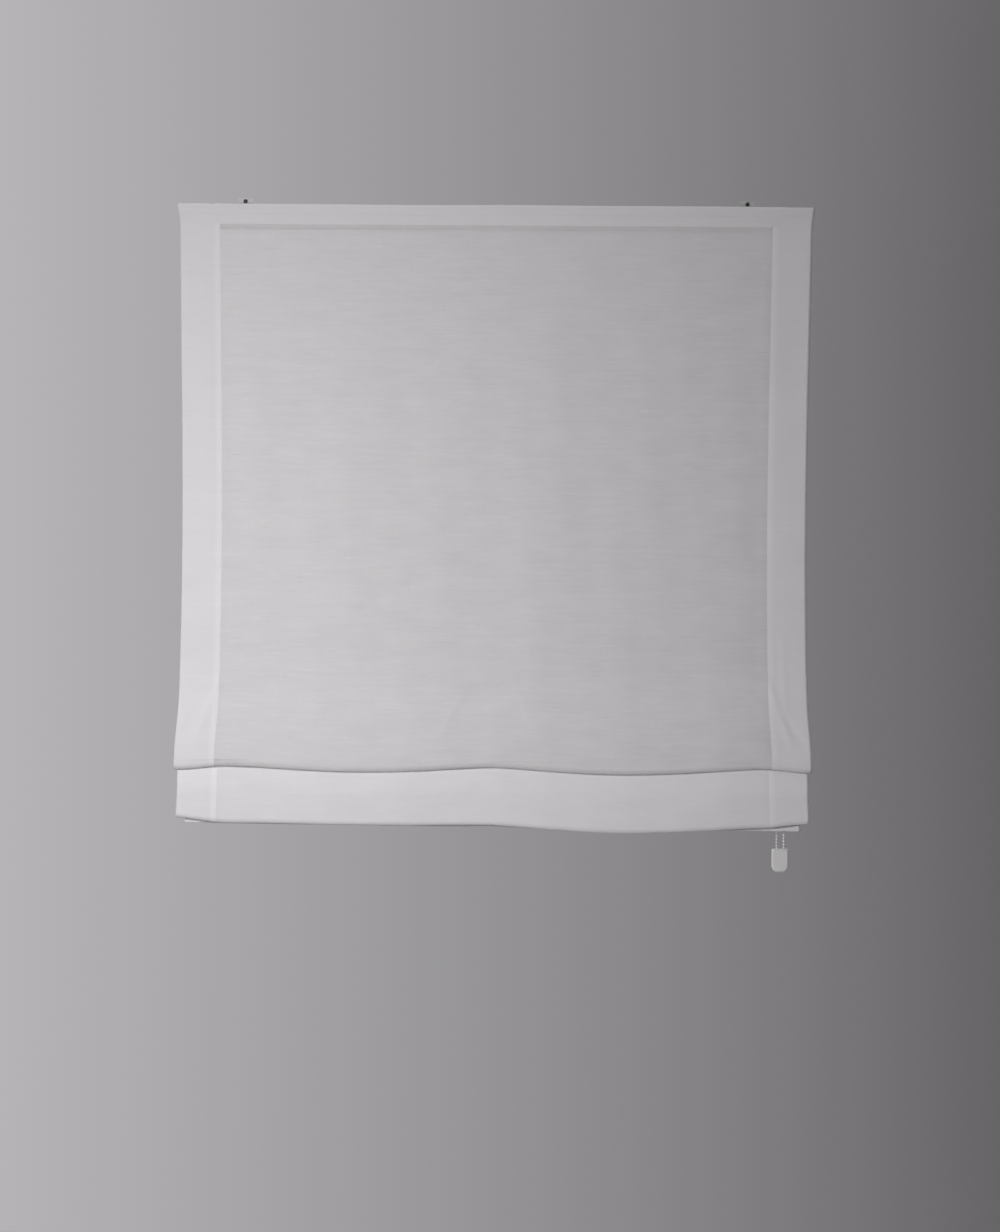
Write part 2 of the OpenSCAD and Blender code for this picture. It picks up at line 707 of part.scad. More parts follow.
section = concat(
    panel(run([cloth_top_y, cloth_top], [cloth_top_y, band_foot], 2), [0, 0], 2),
    panel([[cloth_top_y, band_foot]], [0, 0], 2),
    panel(run([cloth_top_y, band_foot - hem_step], [cloth_ring_y, row_z[4]], 5), [0, 0], 1),
    panel(run([cloth_ring_y, row_z[4]], [cloth_ring_y, row_z[2]], 7), [0, 0], 1),
    panel(bend([[cloth_ring_y, row_z[2]], [cloth_ring_y, mix(row_z[2], front_z, 0.45)],
                [front_y, mix(row_z[2], front_z, 0.55)], [front_y, front_z + front_turn_r]], 8), [0, 1], 1),
    spread(turn([front_y + front_turn_r, front_z + front_turn_r], front_turn_r, 180, 360, 6),
           [1, 1], [0, 0], front_half_w, front_half_w - 1, 1),
    spread(bend([[front_y + 2 * front_turn_r, front_z + front_turn_r],
                 [front_y + 2 * front_turn_r, front_z + front_turn_r + 5],
                 [crease_front_y, row_z[1] - 5], [crease_front_y, row_z[1]]], 4),
           [1, 1], [0, 0], front_half_w - 1, second_half_w, 1),
    spread(turn([cloth_ring_y - crease_r, row_z[1]], crease_r, 180, 0, 4), [1, 1], [0, 0],
           second_half_w, second_half_w, 1),
    spread(bend([[cloth_ring_y, row_z[1]], [cloth_ring_y - 1, row_z[1] - 14],
                 [second_y, row_z[1] - 22], [second_y, mix(row_z[1], second_z, 0.5)]], 8),
           [1, 1], [0, 0], second_half_w, second_half_w, 1),
    spread(run([second_y, mix(row_z[1], second_z, 0.5)], [second_y, second_z + second_turn_r], 2),
           [1, 1], [0, 0], second_half_w, half_w, 1),
    spread(turn([second_y + second_turn_r, second_z + second_turn_r], second_turn_r, 180, 360, 6),
           [1, 1], [0, 0], half_w, half_w - 1, 1),
    spread(bend([[second_y + 2 * second_turn_r, second_z + second_turn_r],
                 [second_y + 2 * second_turn_r, mix(second_z, row_z[0], 0.4)],
                 [crease_front_y, row_z[0] - 20], [crease_front_y, row_z[0]]], 6),
           [1, 1], [0, 0], half_w - 1, hem_half_w + 4, 1),
    spread(turn([cloth_ring_y - crease_r, row_z[0]], crease_r, 180, 0, 4), [1, 1], [0, 0],
           hem_half_w + 4, hem_half_w + 4, 1),
    spread(run([cloth_ring_y, row_z[0]], [pocket_y, pocket_top], 5), [1, 0], [0, 1],
           hem_half_w + 4, hem_half_w, 1),
    spread(run([pocket_y, pocket_top], [pocket_y, hem_z + pocket_r], 2), [0, 0], [1, 1],
           hem_half_w, hem_half_w, 1),
    spread(turn([pocket_y + pocket_r, hem_z + pocket_r], pocket_r, 180, 360, 6), [0, 0], [1, 1],
           hem_half_w, hem_half_w, 1),
    spread([[pocket_y + 2 * pocket_r, hem_z + pocket_r], [pocket_y + 2 * pocket_r, pocket_top]],
           [0, 0], [1, 1], hem_half_w, hem_half_w, 1)
);

// Columns across the width as [share of the half width, layers]: doubled at the side hems.
hem_share = side_hem_w / half_w;
hem_lip = hem_step / half_w;
body_columns = 18;
columns = concat(
    [for (u = [-1, hem_share / 2 - 1, hem_share - 1]) [u, 2]],
    [for (i = [0 : body_columns]) [(1 - hem_share - hem_lip) * (2 * i / body_columns - 1), 1]],
    [for (u = [1 - hem_share, 1 - hem_share / 2, 1]) [u, 2]]
);

// Sag between the cords, and none beyond the outer ones.
function sag(x) =
    let (wave = sin(180 * min(abs(x) / cord_x, 1)))
    (x < 0 ? sag_left : sag_right) * wave * wave;

function section_normal(i) =
    let (a = section[max(i - 1, 0)],
         b = section[min(i + 1, len(section) - 1)],
         n = [a.y - b.y, b.x - a.x])
    n / norm(n);

function cloth_point(i, j, side) =
    let (p = section[i],
         n = section_normal(i),
         half_t = cloth_t * (p[5] + columns[j][1] - 1) / 2,
         x = columns[j][0] * p[4])
    [x, p[0] + side * half_t * n.x,
     p[1] + side * half_t * n.y - p[2] * sag(x) - p[3] * x * tan(hem_slope)];

module fabric() {
    rows = len(section);
    cols = len(columns);
    layer = rows * cols;
    points = [for (side = [-1, 1], i = [0 : rows - 1], j = [0 : cols - 1]) cloth_point(i, j, side)];
    faces = concat(
        [for (i = [0 : rows - 2], j = [0 : cols - 2], k = [0, 1])
            let (a = i * cols + j, b = a + 1, c = a + cols + 1, d = a + cols)
            k == 0 ? [a, b, c] : [a, c, d]],
        [for (i = [0 : rows - 2], j = [0 : cols - 2], k = [0, 1])
            let (a = layer + i * cols + j, b = a + 1, c = a + cols + 1, d = a + cols)
            k == 0 ? [c, b, a] : [d, c, a]],
        [for (i = [0 : rows - 2], right = [0, 1], k = [0, 1])
            let (a = i * cols + right * (cols - 1), b = a + cols, c = b + layer, d = a + layer)
            right == 0 ? (k == 0 ? [a, b, c] : [a, c, d]) : (k == 0 ? [c, b, a] : [d, c, a])],
        [for (j = [0 : cols - 2], foot = [0, 1], k = [0, 1])
            let (a = foot * (rows - 1) * cols + j, b = a + 1, c = b + layer, d = a + layer)
            foot == 1 ? (k == 0 ? [a, b, c] : [a, c, d]) : (k == 0 ? [c, b, a] : [d, c, a])]
    );
    color(cloth_white) polyhedron(points, faces, convexity = 10);
}

// Bottom bar and its end caps, hung at the slope of the hem.
module in_pocket() {
    translate([0, bar_y, bar_z]) rotate([0, hem_slope, 0]) children();
}

module bar_section(grow) {
    round_rect(bar_t + 2 * grow, bar_h + 2 * grow, 1 + grow);
}

module bottom_bar() {
    color(steel_grey) in_pocket() along_x(-bar_half, bar_half) bar_section(0);
}

module bar_cap() {
    difference() {
        along_x(bar_half - bar_cap_l, bar_half + bar_cap_t + fit) bar_section(bar_cap_t + fit);
        along_x(bar_half - bar_cap_l - cut, bar_half + fit) bar_section(fit);
    }
}

module bar_cap_right() {
    color(plastic_white) in_pocket() bar_cap();
}

module bar_cap_left() {
    color(plastic_white) in_pocket() mirror([1, 0, 0]) bar_cap();
}

// Bead chain: an endless loop over the wheel and round the turn inside the weight.
// Its two strands leave the wheel front and back and hang a quarter turn further on.
// Small knots close the corners between the strands and the turns.
strand_top = [for (side = [-1, 1]) [drive_x, rail_y + side * wheel_pitch_r, axis_z]];
strand_foot = [for (side = [-1, 1]) [drive_x + side * weight_turn_r, rail_y, weight_turn_z]];

// Outline of a beaded strand: the cord's radius with a round bulge at every pitch.
function bead_outline(first, count) = [
    for (k = [0 : count - 1], a = [-75, -40, 0, 40, 75])
        [max(cos(a) * bead_d / 2, link_d / 2), first + k * bead_pitch + sin(a) * bead_d / 2]
];

// Stands a shape drawn up the Z axis along a strand, from its foot.
module on_strand(foot, top) {
    lean = top - foot;
    tilt = acos(lean.z / norm(lean));
    heading = atan2(lean.y, lean.x);
    translate(foot) rotate([0, tilt, heading]) children();
}

module strand(foot, top) {
    length = norm(top - foot);
    count = floor((length - bare_top) / bead_pitch);
    on_strand(foot, top) rotate_extrude($fn = 24) polygon(concat(
        [[0, 0], [link_d / 2, 0]],
        bead_outline(bead_pitch / 2, count),
        [[link_d / 2, length], [0, length]]
    ));
}

module bead_chain() {
    color(plastic_white) {
        for (k = [0, 1]) strand(strand_foot[k], strand_top[k]);
        for (place = concat(strand_foot, strand_top)) translate(place) sphere(d = knot_d);
        on_shaft(drive_x) rotate([0, 0, 90]) rotate_extrude(angle = 180)
            translate([wheel_pitch_r, 0]) circle(d = link_d);
        translate([drive_x, rail_y, weight_turn_z]) rotate([90, 0, 0]) rotate([0, 0, 180])
            rotate_extrude(angle = 180) translate([weight_turn_r, 0]) circle(d = link_d);
    }
}

// Chain connector: a barrel that joins the ends of the chain over two beads, halfway up.
module chain_connector() {
    lean = strand_top[1] - strand_foot[1];
    place = bead_pitch * round(norm(lean) / bead_pitch / 2);
    wall = 1.2;
    room = (bead_pitch + bead_d) / 2 + fit;
    cavity_r = bead_d / 2 + fit;
    neck_r = link_d / 2 + fit;
    color(plastic_white) on_strand(strand_foot[1], strand_top[1]) translate([0, 0, place])
        rotate_extrude() polygon([
            [neck_r, -room - wall], [cavity_r + wall, -room - wall],
            [cavity_r + wall, room + wall], [neck_r, room + wall],
            [neck_r, room], [cavity_r, room], [cavity_r, -room], [neck_r, -room]
        ]);
}

// Chain weight: two halves with bevelled faces, closed round the turn of the chain.
module weight_outline(inset) {
    top_r = 3;
    foot_r = 12 - inset;
    half = weight_w / 2 - inset;
    foot = inset - weight_h;
    hull() {
        for (side = [-1, 1]) {
            translate([side * (half - top_r), -inset - top_r]) circle(top_r, $fn = 24);
            translate([side * (half - foot_r), foot + foot_r]) circle(foot_r, $fn = 32);
        }
    }
}

module weight_half() {
    bevel = 2.5;
    depth = weight_d / 2;
    bore_r = bead_d / 2 + free_gap;
    turn_y = weight_turn_z - weight_top;
    difference() {
        hull() {
            linear_extrude(depth - bevel) weight_outline(0);
            linear_extrude(depth) weight_outline(bevel);
        }
        translate([0, turn_y, 0]) rotate(180) rotate_extrude(angle = 180)
            translate([weight_turn_r, 0]) circle(bore_r);
        for (side = [-1, 1]) translate([side * weight_turn_r, turn_y, 0])
            rotate([-90, 0, 0]) cylinder(r = bore_r, h = cut - turn_y);
    }
}

module chain_weight_front() {
    color(plastic_grey) translate([drive_x, rail_y, weight_top]) rotate([90, 0, 0]) weight_half();
}

module chain_weight_back() {
    color(plastic_grey) translate([drive_x, rail_y, weight_top])
        mirror([0, 1, 0]) rotate([90, 0, 0]) weight_half();
}

headrail();
end_cap_left();
end_cap_right();
hook_tape();
loop_tape();
wall_bracket_left();
wall_bracket_right();
turn_clip_left();
turn_clip_right();
clip_rivets();
drive_shaft();
cord_spool_left();
cord_spool_middle();
cord_spool_right();
spool_cradle_left();
spool_cradle_middle();
spool_cradle_right();
drive_housing();
drive_cover();
chain_wheel();
wrap_spring();
lift_cord_left();
lift_cord_middle();
lift_cord_right();
rings_lowest();
rings_second();
rings_third();
rings_fourth();
rings_top();
cord_adjusters();
fabric();
bottom_bar();
bar_cap_left();
bar_cap_right();
bead_chain();
chain_connector();
chain_weight_front();
chain_weight_back();
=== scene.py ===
"""Sheer roman blind: its cloth, stitching, cords, bead chain and finishes, built on the blind's frame.

Metres. +X is right, the front faces -Y, +Z is up, and the wall is the plane y = 0.
"""

import json
import math

import bmesh
import bpy
import numpy as np
from bpy.props import FloatProperty, FloatVectorProperty, IntProperty, PointerProperty
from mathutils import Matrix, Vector


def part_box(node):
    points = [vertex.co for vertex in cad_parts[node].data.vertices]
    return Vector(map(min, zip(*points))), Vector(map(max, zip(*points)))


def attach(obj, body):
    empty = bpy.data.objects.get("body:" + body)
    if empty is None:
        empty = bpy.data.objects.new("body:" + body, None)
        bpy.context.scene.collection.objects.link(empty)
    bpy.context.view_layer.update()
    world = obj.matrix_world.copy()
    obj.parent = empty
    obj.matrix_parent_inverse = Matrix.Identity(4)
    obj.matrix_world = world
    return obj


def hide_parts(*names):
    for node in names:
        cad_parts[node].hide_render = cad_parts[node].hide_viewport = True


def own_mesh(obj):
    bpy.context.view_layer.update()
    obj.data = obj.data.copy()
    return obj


bl_info = {
    "name": "Sheer Roman Blind",
    "version": (1, 0, 0),
    "blender": (4, 5, 0),
    "location": "View3D > Sidebar > Blind",
    "description": "Builds the cloth, cords, chain and finishes of a roman blind",
    "category": "Add Mesh",
}

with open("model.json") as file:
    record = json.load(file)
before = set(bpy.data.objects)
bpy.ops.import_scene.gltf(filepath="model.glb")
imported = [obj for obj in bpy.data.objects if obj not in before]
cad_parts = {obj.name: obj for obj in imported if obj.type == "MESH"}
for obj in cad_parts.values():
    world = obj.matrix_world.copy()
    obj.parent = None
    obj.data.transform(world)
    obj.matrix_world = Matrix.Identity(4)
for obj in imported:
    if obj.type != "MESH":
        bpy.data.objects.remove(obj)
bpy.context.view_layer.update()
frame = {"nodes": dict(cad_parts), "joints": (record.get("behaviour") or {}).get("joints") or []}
MM = 0.001


def middle(node):
    """Middle of a node's box."""
    low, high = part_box(node)
    return (low + high) / 2


# Places taken from the frame
LIFT_JOINT = next(joint for joint in frame["joints"] if joint["name"] == "blind_lift")
LIFT = LIFT_JOINT["range_m"][1]
FIXED_END = {row["node"]: row["fixed_end_z_m"] for row in LIFT_JOINT["deforming_nodes"]}
ROW_NAMES = ("lowest", "second", "third", "fourth", "top")
ROW_BODIES = ("bottom_bar", "bottom_bar", "third_ring_row", "fourth_ring_row", "top_ring_row")
ROWS = [middle(f"rings_{row}").z for row in ROW_NAMES]
RING_LOW, RING_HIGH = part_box("rings_lowest")
RING_R = (RING_HIGH.y - RING_LOW.y) / 2
RING_WIRE = RING_HIGH.z - RING_LOW.z
CORD_X = RING_HIGH.x - RING_R
CORD_Y = (RING_HIGH.y + RING_LOW.y) / 2
SIDES = ("left", "middle", "right")
CORD_XS = dict(zip(SIDES, (-CORD_X, 0.0, CORD_X)))
SHAFT = middle("drive_shaft")
TAPE_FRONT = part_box("loop_tape")[0].y
CLOTH_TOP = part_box("fabric")[1].z
BRACKET_FACE = -2 * MM

# Size of the picture in pixels
PICTURE_W, PICTURE_H = 1000, 1232

# Points down the panel and in the curve out to the front fold, and columns of a side hem's inner layer
PANEL_ROWS = 171
CURVE_ROWS = 120
HEM_COLUMNS = 13
# Rows of the folds: those from the level seam to the turn, the row at the crease behind the front fold, those
# with stitches at the sides, and those of the front, foot and back of the bar pocket
LEAD_ROWS = 10
CREASE_ROW = 40
STITCHED_ROWS = 110
POCKET_ROWS = (8, 12, 9)
# Rows of the band that carry stitches, counted up from its foot
BAND_STITCH_ROWS = (-3, -7, -12)
# Points of a stitch line down the cloth and of one across it, and of a strand of the bead chain
STITCH_PATH_DOWN = 500
STITCH_PATH_ACROSS = 400
STRAND_ROWS = 140
# Leans of the threads that tie a ring, in degrees from straight ahead
TIE_LEANS = (-14.0, -5.0, 5.0, 14.0)
# Section of a wall screw as shares of its head's radius: out over the dome, then in over rim and shank
SCREW_DOME = (0.0, 0.1, 0.2, 0.3, 0.4, 0.5, 0.6, 0.7, 0.85, 0.95, 1.0)
SCREW_SHANK = (1.0, 0.53, 0.53, 0.0)

# Distance from the loop tape and from the rings to the middle of the cloth
TAPE_GAP = 1.5 * MM
RING_GAP = 0.5 * MM
# Height of the flare at the top corners, and how far the hold of a ring and of the band reaches
CORNER_H = 0.045
RING_HOLD = 0.03
BAND_HOLD = 0.3
# Slanting waves in the cloth: height, wavelength across, phase, and turns per metre down
RIPPLES = (
    (0.9 * MM, 0.36, 0.12, 0.25),
    (0.5 * MM, 0.19, 0.55, -0.4),
    (0.25 * MM, 0.083, 0.3, 1.1),
)
# Drag creases near the lower corners: half width, then start and end as x and z, and height
CREASE_W = 0.006
CREASES = (
    ((0.505, -0.87), (0.575, -1.06), 0.0014),
    ((0.53, -0.95), (0.60, -1.05), -0.0011),
    ((0.545, -0.80), (0.555, -0.99), 0.0009),
    ((-0.505, -0.88), (-0.57, -1.05), 0.0013),
    ((-0.54, -0.93), (-0.60, -1.04), -0.0010),
    ((-0.59, -0.91), (-0.53, -0.925), 0.0010),
    ((-0.58, -0.935), (-0.50, -0.94), -0.0008),
    ((0.02, -0.88), (0.10, -1.04), 0.0007),
    ((-0.03, -0.89), (-0.12, -1.05), 0.0007),
)


def length(name, words, default):
    """A size in metres that a user may change."""
    return FloatProperty(name=name, description=words, default=default, unit="LENGTH", precision=4)


def degrees(name, words, default):
    """An angle that a user may change, with its default in degrees."""
    return FloatProperty(name=name, description=words, default=math.radians(default), subtype="ANGLE")


def amount(name, words, default, unit="NONE"):
    """A strength or power that a user may change."""
    return FloatProperty(name=name, description=words, default=default, unit=unit)


def number(name, words, default):
    """A whole number that a user may change."""
    return IntProperty(name=name, description=words, default=default)


def spot(name, words, default):
    """A place in metres that a user may change."""
    return FloatVectorProperty(name=name, description=words, default=default, subtype="XYZ", unit="LENGTH")


def tint(name, words, default):
    """A colour that a user may change."""
    return FloatVectorProperty(
        name=name, description=words, default=default, subtype="COLOR", size=3, min=0, max=1
    )


class ClothSizes(bpy.types.PropertyGroup):
    """Sizes of the cloth and of its folds."""

    width: length("Width", "Finished width of the blind", 1.2)
    side_hem: length("Side hem", "Width of the side hems", 0.076)
    top_hem: length("Top hem", "Height of the top hem", 0.040)
    layer_gap: length("Layer gap", "Distance between two layers at a hem", 0.0004)
    ring_pitch: length("Ring pitch", "Cloth between two ring rows", 0.238)
    skirt: length("Skirt", "Cloth below the lowest ring row", 0.115)
    pocket: length("Pocket", "Height of the pocket for the bottom bar", 0.032)
    front_bulge: length("Front bulge", "How far the front fold stands out from the rings", 0.017)
    second_bulge: length("Second bulge", "How far the second fold stands out", 0.012)
    front_turn: length("Front turn", "Radius at the bottom of the front fold", 0.0065)
    front_round: length("Front round", "Depth over which the front fold rolls under", 0.0105)
    front_roll: length("Front roll", "Height over which the front fold rolls under", 0.012)
    second_round: length("Second round", "Depth over which the second fold rolls under", 0.0066)
    second_roll: length("Second roll", "Height over which the second fold rolls under", 0.009)
    second_turn: length("Second turn", "Radius at the bottom of the second fold", 0.0042)
    crease: length("Crease", "Radius of the crease at a sewn ring", 0.001)
    sag_left: length("Left sag", "Sag of the folds between the left and middle cords", 0.010)
    sag_right: length("Right sag", "Sag of the folds between the middle and right cords", 0.0125)
    end_drop: length("End drop", "How far the front fold's free ends hang down", 0.007)
    second_rise: length("Second rise", "How much less the second fold sags at the left", 0.008)
    waist: length("Waist", "How far each side draws in at half height", 0.008)
    flare: length("Flare", "How far each side flares out at the front fold", 0.004)
    edge_wave: length("Edge wave", "How uneven the top edge is", 0.0007)
    corner_flare: length("Corner flare", "How far the top corners stand out", 0.004)
    lift_left: length("Left end lift", "How far the second fold's left end curls up", 0.016)
    lift_right: length("Right end lift", "How far the second fold's right end curls up", 0.015)
    hem_inset: length("Hem inset", "How far the hem's ends lie inside the width", 0.016)
    ring_pull: length("Ring pull", "How far the rings draw the cloth in", 0.0012)
    hem_slope: degrees("Hem slope", "Slope of the bottom hem, its right end low", 0.5)
    thread_pitch: length("Thread pitch", "Distance from thread to thread in the weave", 0.0011)
    columns: number("Columns", "Columns of faces between the sides", 220)


class TrimSizes(bpy.types.PropertyGroup):
    """Sizes of the stitching, cords, chain and screws."""

    stitch_pitch: length("Stitch pitch", "Distance from stitch to stitch", 0.004)
    stitch_length: length("Stitch length", "Length of one stitch", 0.003)
    stitch_width: length("Stitch width", "Width of one stitch", 0.0006)
    cord: length("Lift cord", "Diameter of a lift cord", 0.0014)
    cord_turns: number("Cord turns", "Turns of cord on each spool", 4)
    bead: length("Bead", "Diameter of a bead", 0.0045)
    bead_pitch: length("Bead pitch", "Distance from bead to bead", 0.006)
    bead_link: length("Bead link", "Diameter of the cord between beads", 0.0012)
    wheel_pockets: number("Wheel pockets", "Bead pockets of the wheel", 8)
    weight_turn: length("Weight turn", "Radius of the chain's turn inside the weight", 0.007)
    screw_head: length("Screw head", "Radius of a wall screw's head", 0.004)


class BlindColours(bpy.types.PropertyGroup):
    """Colours of the blind's finishes."""

    cloth: tint("Cloth", "Linen-look weave", (0.80, 0.777, 0.797))
    thread: tint("Thread", "Sewing thread", (0.79, 0.78, 0.785))
    rail: tint("Rail", "Powder coat of the headrail", (0.80, 0.80, 0.79))
    white: tint("White plastic", "Moulded white plastic", (0.78, 0.78, 0.77))
    grey: tint("Grey plastic", "Moulded grey plastic", (0.45, 0.45, 0.45))
    zinc: tint("Zinc", "Zinc-coated steel of the brackets", (0.47, 0.465, 0.475))
    steel: tint("Steel", "Drawn steel of the shaft", (0.55, 0.55, 0.56))
    aluminium: tint("Aluminium", "Mill aluminium of the bottom bar", (0.70, 0.70, 0.71))
    chain: tint("Chain", "Moulded beads", (0.74, 0.74, 0.73))
    weight: tint("Weight", "Chain weight", (0.71, 0.70, 0.71))
    ring: tint("Ring", "Milky clear rings", (0.82, 0.82, 0.81))
    screw: tint("Screw", "Blackened wall screws", (0.03, 0.03, 0.03))


class StageSizes(bpy.types.PropertyGroup):
    """Camera, light and background."""

    view_width: length("View width", "Width of the picture at the cloth", 1.897)
    view_distance: length("View distance", "Distance from the camera to the cloth", 5.0)
    view_x: length("View centre", "Sideways place of the camera", 0.0116)
    view_drop: length("View drop", "Height of the cloth's top above the camera", 0.779)
    floor_drop: length("Floor drop", "Depth of the floor below the wall screws", 2.35)
    floor_reach: length("Floor reach", "How far the floor runs to the sides and to the front", 40.0)
    floor_behind: length("Floor behind", "How far the floor runs on behind the wall's plane", 1.6)
    roll: degrees("Roll", "Roll of the camera", -0.36)
    ambient: amount("Ambient", "Strength of the even light", 0.112)
    key: amount("Key", "Power of the lamp at the left", 19.8, "POWER")
    key_place: spot("Key place", "Where the lamp at the left stands", (-1.18, -2.2, -0.3))
    key_target: spot("Key target", "Where the lamp at the left points", (-0.23, TAPE_FRONT, -1.17))
    key_size: length("Key size", "Width of the lamp at the left", 0.9)
    key_spread: degrees("Key spread", "Beam angle of the lamp at the left", 114)
    back: amount("Back", "Power of the lamp behind", 45.0, "POWER")
    back_place: spot("Back place", "Where the lamp behind stands", (1.7, 2.4, 0.4))
    top: amount("Top", "Power of the lamp above", 9.0, "POWER")
    top_place: spot("Top place", "Where the lamp above stands", (0.2, -0.6, 2.0))
    soft_size: length("Soft size", "Width of the lamps behind and above", 1.2)
    backdrop_left: tint("Backdrop left", "Background at the left of the view", (0.48, 0.468, 0.48))
    backdrop_right: tint("Backdrop right", "Background at the right of the view", (0.12, 0.115, 0.12))
    floor: tint("Floor", "Pale floor", (0.72, 0.71, 0.72))


# Shapes as arrays of points


def smooth(t):
    """Smoothstep: 3t^2 - 2t^3 between 0 and 1."""
    t = np.clip(t, 0.0, 1.0)
    return t * t * (3.0 - 2.0 * t)


def mix(a, b, t):
    """Straight blend from a to b."""
    return a + (b - a) * t


def wave(turns):
    """Sine of a number of turns."""
    return np.sin(2 * np.pi * turns)


def points_from(*parts):
    """Points whose parts are arrays or numbers."""
    return np.stack(np.broadcast_arrays(*parts), axis=-1)


def middle_column(points):
    """Points of a grid's middle column."""
    return points[:, points.shape[1] // 2]


def steps(count):
    """count shares from 0 up to, and without, 1."""
    return np.arange(count) / count


def straight(start, end, count):
    """Points of a straight run, without its end."""
    return mix(np.array(start), np.array(end), steps(count)[:, None])


def bend(points, count):
    """Points of a cubic Bezier curve, without its end."""
    t = steps(count)[:, None]
    a, b, c, d = (np.array(point) for point in points)
    return (1 - t) ** 3 * a + 3 * (1 - t) ** 2 * t * b + 3 * (1 - t) * t**2 * c + t**3 * d


def arc(centre, radius, start, end, count):
    """Points of an arc between two angles in degrees, without its end. Two radii make it an ellipse."""
    angle = np.radians(mix(start, end, steps(count)))
    return np.array(centre) + np.array(radius) * np.stack([np.cos(angle), np.sin(angle)], axis=1)


def unit(vectors):
    """Vectors of length 1."""
    return vectors / np.maximum(np.linalg.norm(vectors, axis=-1, keepdims=True), 1e-12)


def travelled(points):
    """Distance along a line of points."""
    return np.concatenate([[0.0], np.cumsum(np.linalg.norm(np.diff(points, axis=0), axis=1))])


def spaced(points, pitch):
    """Points at an even pitch along a line, and the line's direction at each."""
    along = travelled(points)
    at = np.arange(pitch / 2, along[-1], pitch)
    places = np.stack([np.interp(at, along, points[:, k]) for k in range(3)], axis=1)
    return places, unit(np.gradient(places, axis=0))


def grid_quads(rows, columns, closed=False):
    """Quads between neighbours of a grid, facing front where rows run down and columns run right. The last
    column of a closed grid meets its first."""
    index = np.arange(rows * columns).reshape(rows, columns)
    if closed:
        index = np.concatenate([index, index[:, :1]], axis=1)
    corners = [index[:-1, :-1], index[1:, :-1], index[1:, 1:], index[:-1, 1:]]
    return np.stack(corners, axis=-1).reshape(-1, 4)


def grid_mesh(name, points, uv=None, closed=False):
    """Mesh of a grid of points, with a place in the weave at each point where one is given."""
    quads = grid_quads(*points.shape[:2], closed)
    mesh = bpy.data.meshes.new(name)
    mesh.from_pydata(points.reshape(-1, 3).tolist(), [], quads.tolist())
    if uv is not None:
        layer = mesh.uv_layers.new(name="weave")
        layer.data.foreach_set("uv", uv.reshape(-1, 2)[quads.ravel()].astype(np.float32).ravel())
    return finished(mesh)


def finished(mesh):
    """Smooth faces on a whole mesh."""
    mesh.polygons.foreach_set("use_smooth", np.ones(len(mesh.polygons), bool))
    mesh.update()
    return mesh


def welded(mesh):
    """Joins points that coincide at poles and seams, and turns the faces outwards."""
    work = bmesh.new()
    work.from_mesh(mesh)
    bmesh.ops.remove_doubles(work, verts=work.verts, dist=0.01 * MM)
    bmesh.ops.recalc_face_normals(work, faces=work.faces)
    work.to_mesh(mesh)
    work.free()
    return finished(mesh)


def ball(around, rings):
    """Unit sphere of a few faces: two poles on the first axis and rings of points between them."""
    polar = np.pi * np.arange(1, rings + 1)[:, None] / (rings + 1)
    turn = 2 * np.pi * np.arange(around)[None, :] / around
    out = np.sin(polar)
    body = points_from(np.cos(polar), out * np.cos(turn), out * np.sin(turn))
    points = np.concatenate([body.reshape(-1, 3), [[1.0, 0.0, 0.0], [-1.0, 0.0, 0.0]]])
    pole = rings * around
    index = np.arange(around)
    after = np.roll(index, -1)
    below = pole - around
    first = np.stack([np.full(around, pole), index, after], axis=-1)
    last = np.stack([np.full(around, pole + 1), after + below, index + below], axis=-1)
    return points, grid_quads(rings, around, closed=True), np.concatenate([first, last])


def copies(shape, places, frames):
    """The same small shape at every place, turned by that place's three axes; gives points and faces."""
    points, quads, triangles = shape
    count = len(points)
    start = count * np.arange(len(places))[:, None, None]
    moved = places[:, None, :] + points @ frames
    faces = (quads + start).reshape(-1, 4).tolist() + (triangles + start).reshape(-1, 3).tolist()
    return moved.reshape(-1, 3), faces


def copies_mesh(name, shape, places, frames):
    """Mesh of the same small shape at every place."""
    points, faces = copies(shape, places, frames)
    mesh = bpy.data.meshes.new(name)
    mesh.from_pydata(points.tolist(), [], faces)
    return finished(mesh)


def tube_points(path, radius, sides, aside):
    """A round profile carried along a path: each ring stands square to the path, turned towards aside."""
    ahead = unit(np.gradient(path, axis=0))
    across = unit(np.cross(ahead, np.array(aside)))
    up = np.cross(across, ahead)
    turn = 2 * np.pi * np.arange(sides) / sides
    ring = np.cos(turn)[None, :, None] * across[:, None, :] + np.sin(turn)[None, :, None] * up[:, None, :]
    return path[:, None, :] + radius * ring


def tube_mesh(name, path, radius, sides, aside):
    """Closed tube along a path, with its length and its turn in the UV map, in metres and in turns."""
    body = tube_points(path, radius, sides, aside)
    first = np.repeat(path[None, :1], sides, axis=1)
    last = np.repeat(path[None, -1:], sides, axis=1)
    points = np.concatenate([first, body, last])
    points = np.concatenate([points, points[:, :1]], axis=1)
    along = np.concatenate([[0.0], travelled(path), [travelled(path)[-1]]])
    uv = points_from(np.arange(sides + 1)[None, :] / sides, along[:, None])
    return welded(grid_mesh(name, points, uv))


# Pieces on the frame


def piece(name, mesh, material, body, stands_for=()):
    """An object at the origin that rides on a body and takes its finish from a slot."""
    made = bpy.data.objects.new(name, mesh)
    bpy.context.scene.collection.objects.link(made)
    mesh.materials.append(material)
    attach(made, body)
    if stands_for:
        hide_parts(*stands_for)
    return made


def gathers(made, fixed_z, free_z):
    """Gives a piece a mesh of its own. It works out the share that would stay as the bottom bar rises, but
    draws nothing up.
    """
    keep = 1.0 - LIFT / (fixed_z - free_z)
    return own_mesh(made)


# How the cloth hangs


